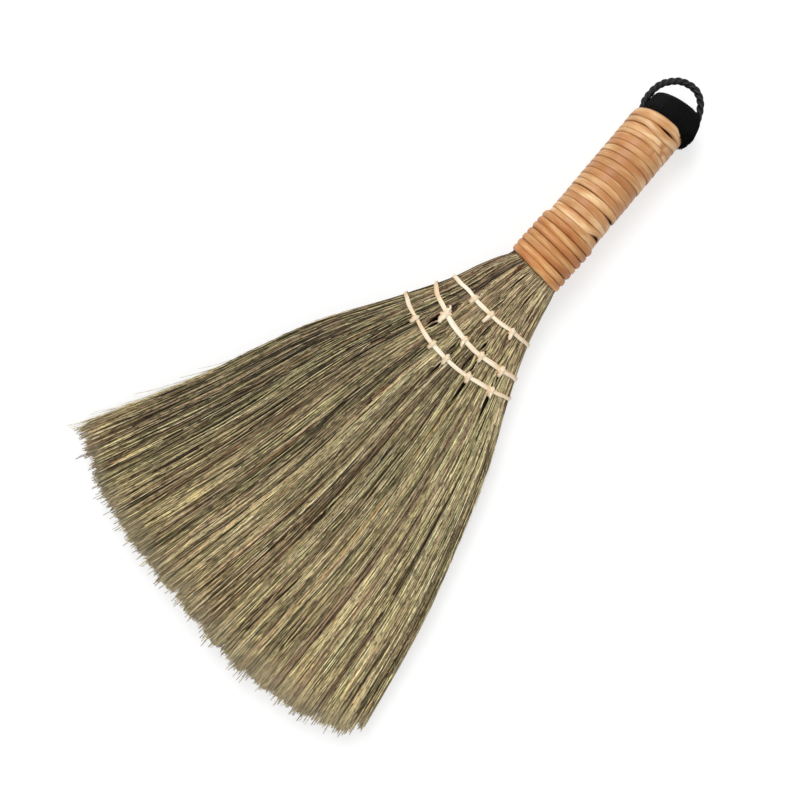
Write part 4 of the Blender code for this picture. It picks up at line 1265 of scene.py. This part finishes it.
    def tail(self, skin: Surface, here: np.ndarray, way: np.ndarray, side: np.ndarray, top: float,
             long: float, swing: float, wide: float) -> None:
        """A cut end of cane that lies on the straw beside its knot.

        Args:
            skin: the surface that takes it.
            here: the knot's place.
            way: the straw's direction.
            side: the direction along the band.
            top: how high the knot stands.
            long: the end's length, less than zero where it points up the straw.
            swing: how far it turns aside, as a share of its length.
            wide: its half width.
        """
        t = np.linspace(0, 1, 12)
        curl = t**1.3 + 0.18 * np.sin(TURN * t)
        start = math.copysign(1.2 * MM, long)
        line = here + way * (start + long * t)[:, None] + side * (swing * abs(long) * curl)[:, None]
        line[:, 2] = top - 0.2 * MM - 0.45 * MM * t + 0.5 * MM * np.sin(math.pi * t)
        width = wide * np.interp(t, (0, 0.8, 1), (1.0, 0.9, 0.8))
        self.strap(skin, line, width, width * 0.6, 1.0)

    def make(self, shop: Workshop) -> None:
        """Makes every band and stitch."""
        for place in BANDS:
            self.band(shop, place)
            for number, u in enumerate(place.lashings, 1):
                self.stitch(shop, place, number, u)


# Scene


@dataclass
class Studio:
    """The pale floor, the soft lamps and the camera above the broom."""

    middle: tuple[float, float] = (11.3 * MM, -25.8 * MM)
    axis_height: float = 15.25 * MM
    field: float = 40.0
    span: float = 0.400
    turned: float = 41.0
    floor_half: float = 6.0
    lamps_at: tuple[tuple[str, tuple[float, float, float], float, float], ...] = (
        ("key_lamp", (-0.75, 0.55, 1.25), 0.9, 13.0), ("fill_lamp", (0.9, -0.5, 1.1), 1.2, 3.5),
    )

    def camera(self) -> None:
        """Hangs the camera so that the image spans 400 mm at the height of the handle's axis."""
        data = bpy.data.cameras.new("camera")
        data.sensor_width = 36
        data.angle = math.radians(self.field)
        data.clip_start = 0.01
        above = self.span / 2 / math.tan(math.radians(self.field) / 2)
        made = bpy.data.objects.new("camera", data)
        made.location = (*self.middle, self.axis_height + above)
        made.rotation_euler = (0, 0, math.radians(self.turned))
        bpy.context.scene.collection.objects.link(made)
        bpy.context.scene.camera = made

    def for_seen_rays(self, book: Nodes, target: Socket, plain: float, lift: Source) -> None:
        """Sets a strength that is plain for light on the broom, with a lift where the camera sees it.

        Args:
            book: the material's or the world's nodes.
            target: the strength's socket.
            plain: the strength for other rays.
            lift: what the camera's, glossy and see-through rays get on top of it.
        """
        rays = book.node("ShaderNodeLightPath", {}).outputs
        seen = rays["Is Camera Ray"]
        for name in ("Is Glossy Ray", "Is Transmission Ray"):
            seen = book.node("ShaderNodeMath", {0: seen, 1: rays[name]}, operation="MAXIMUM").outputs[0]
        lifted = book.node("ShaderNodeMath", {0: seen, 1: lift, 2: plain}, operation="MULTIPLY_ADD")
        book.join(lifted.outputs[0], target)

    def floor(self) -> None:
        """A white floor: lit as pale paper, and lifted to white for the camera but for the shadow.

        The lift grows with the distance from the broom, where the lamps' light fades.
        """
        mesh = bpy.data.meshes.new("floor")
        corners = ((-1, -1, 0), (1, -1, 0), (1, 1, 0), (-1, 1, 0))
        mesh.from_pydata([tuple(self.floor_half * value for value in corner) for corner in corners], [],
                         [(0, 1, 2, 3)])
        made = bpy.data.objects.new("floor", mesh)
        book = Recipe("paper_floor", 0.9, 0.0)
        book.join((0.56, 0.56, 0.56), book.shader["Base Color"])
        book.join((1, 1, 1), book.shader["Emission Color"])
        place = book.node("ShaderNodeTexCoord", {}).outputs["Object"]
        away = book.node("ShaderNodeVectorMath", {0: place}, operation="LENGTH").outputs["Value"]
        lift = book.between(away, 0.5, 2.0, 0.58, 0.78)
        self.for_seen_rays(book, book.shader["Emission Strength"], 0.0, lift)
        mesh.materials.append(book.material)
        bpy.context.scene.collection.objects.link(made)

    def lamps(self) -> None:
        """An even sky, a large soft lamp above the image's upper left and a weaker one opposite."""
        world = bpy.data.worlds.new("sky")
        world.use_nodes = True
        book = Nodes(world.node_tree)
        sky = book.tree.nodes["Background"].inputs
        book.join((1, 1, 1), sky["Color"])
        self.for_seen_rays(book, sky["Strength"], 0.45, 0.55)
        bpy.context.scene.world = world
        for name, place, size, power in self.lamps_at:
            data = bpy.data.lights.new(name, "AREA")
            data.size = size
            data.energy = power
            made = bpy.data.objects.new(name, data)
            made.location = place
            aim = -np.array(place)
            flat = math.hypot(aim[0], aim[1])
            made.rotation_euler = (math.atan2(flat, -aim[2]), 0, math.atan2(aim[1], aim[0]) - math.pi / 2)
            bpy.context.scene.collection.objects.link(made)

    def make(self) -> None:
        """Makes the camera, the floor and the lamps."""
        self.camera()
        self.floor()
        self.lamps()
        bpy.context.scene.view_settings.view_transform = "Standard"


KEPT = {"stalk_core": Finish.STALKS, "lower_tie": Finish.TWINE, "upper_tie": Finish.TWINE}


def main() -> None:
    """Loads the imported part, then makes the scene and every piece of the broom in order."""
    logging.basicConfig(level=logging.INFO, format="%(name)s: %(message)s")
    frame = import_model()
    hinge = np.array(frame["record"]["behaviour"]["joints"][0]["pos_m"])
    rope, fan = Rope(), Fan()
    Studio().make()
    finishes = {Finish(finish.name): finish.make() for finish in FINISHES}
    shop = Workshop(hinge - np.array([0, rope.hinge, 0]), finishes)
    for maker in (rope, Sheaf(fan), *WINDINGS, FibreCap(), Lashings(fan)):
        maker.make(shop)
    for node, finish in KEPT.items():
        piece = frame["nodes"][node]
        piece.data.materials.clear()
        piece.data.materials.append(finishes[finish])
        LOG.info("%s: kept from the packed part", node)


if __name__ == "__main__":
    main()
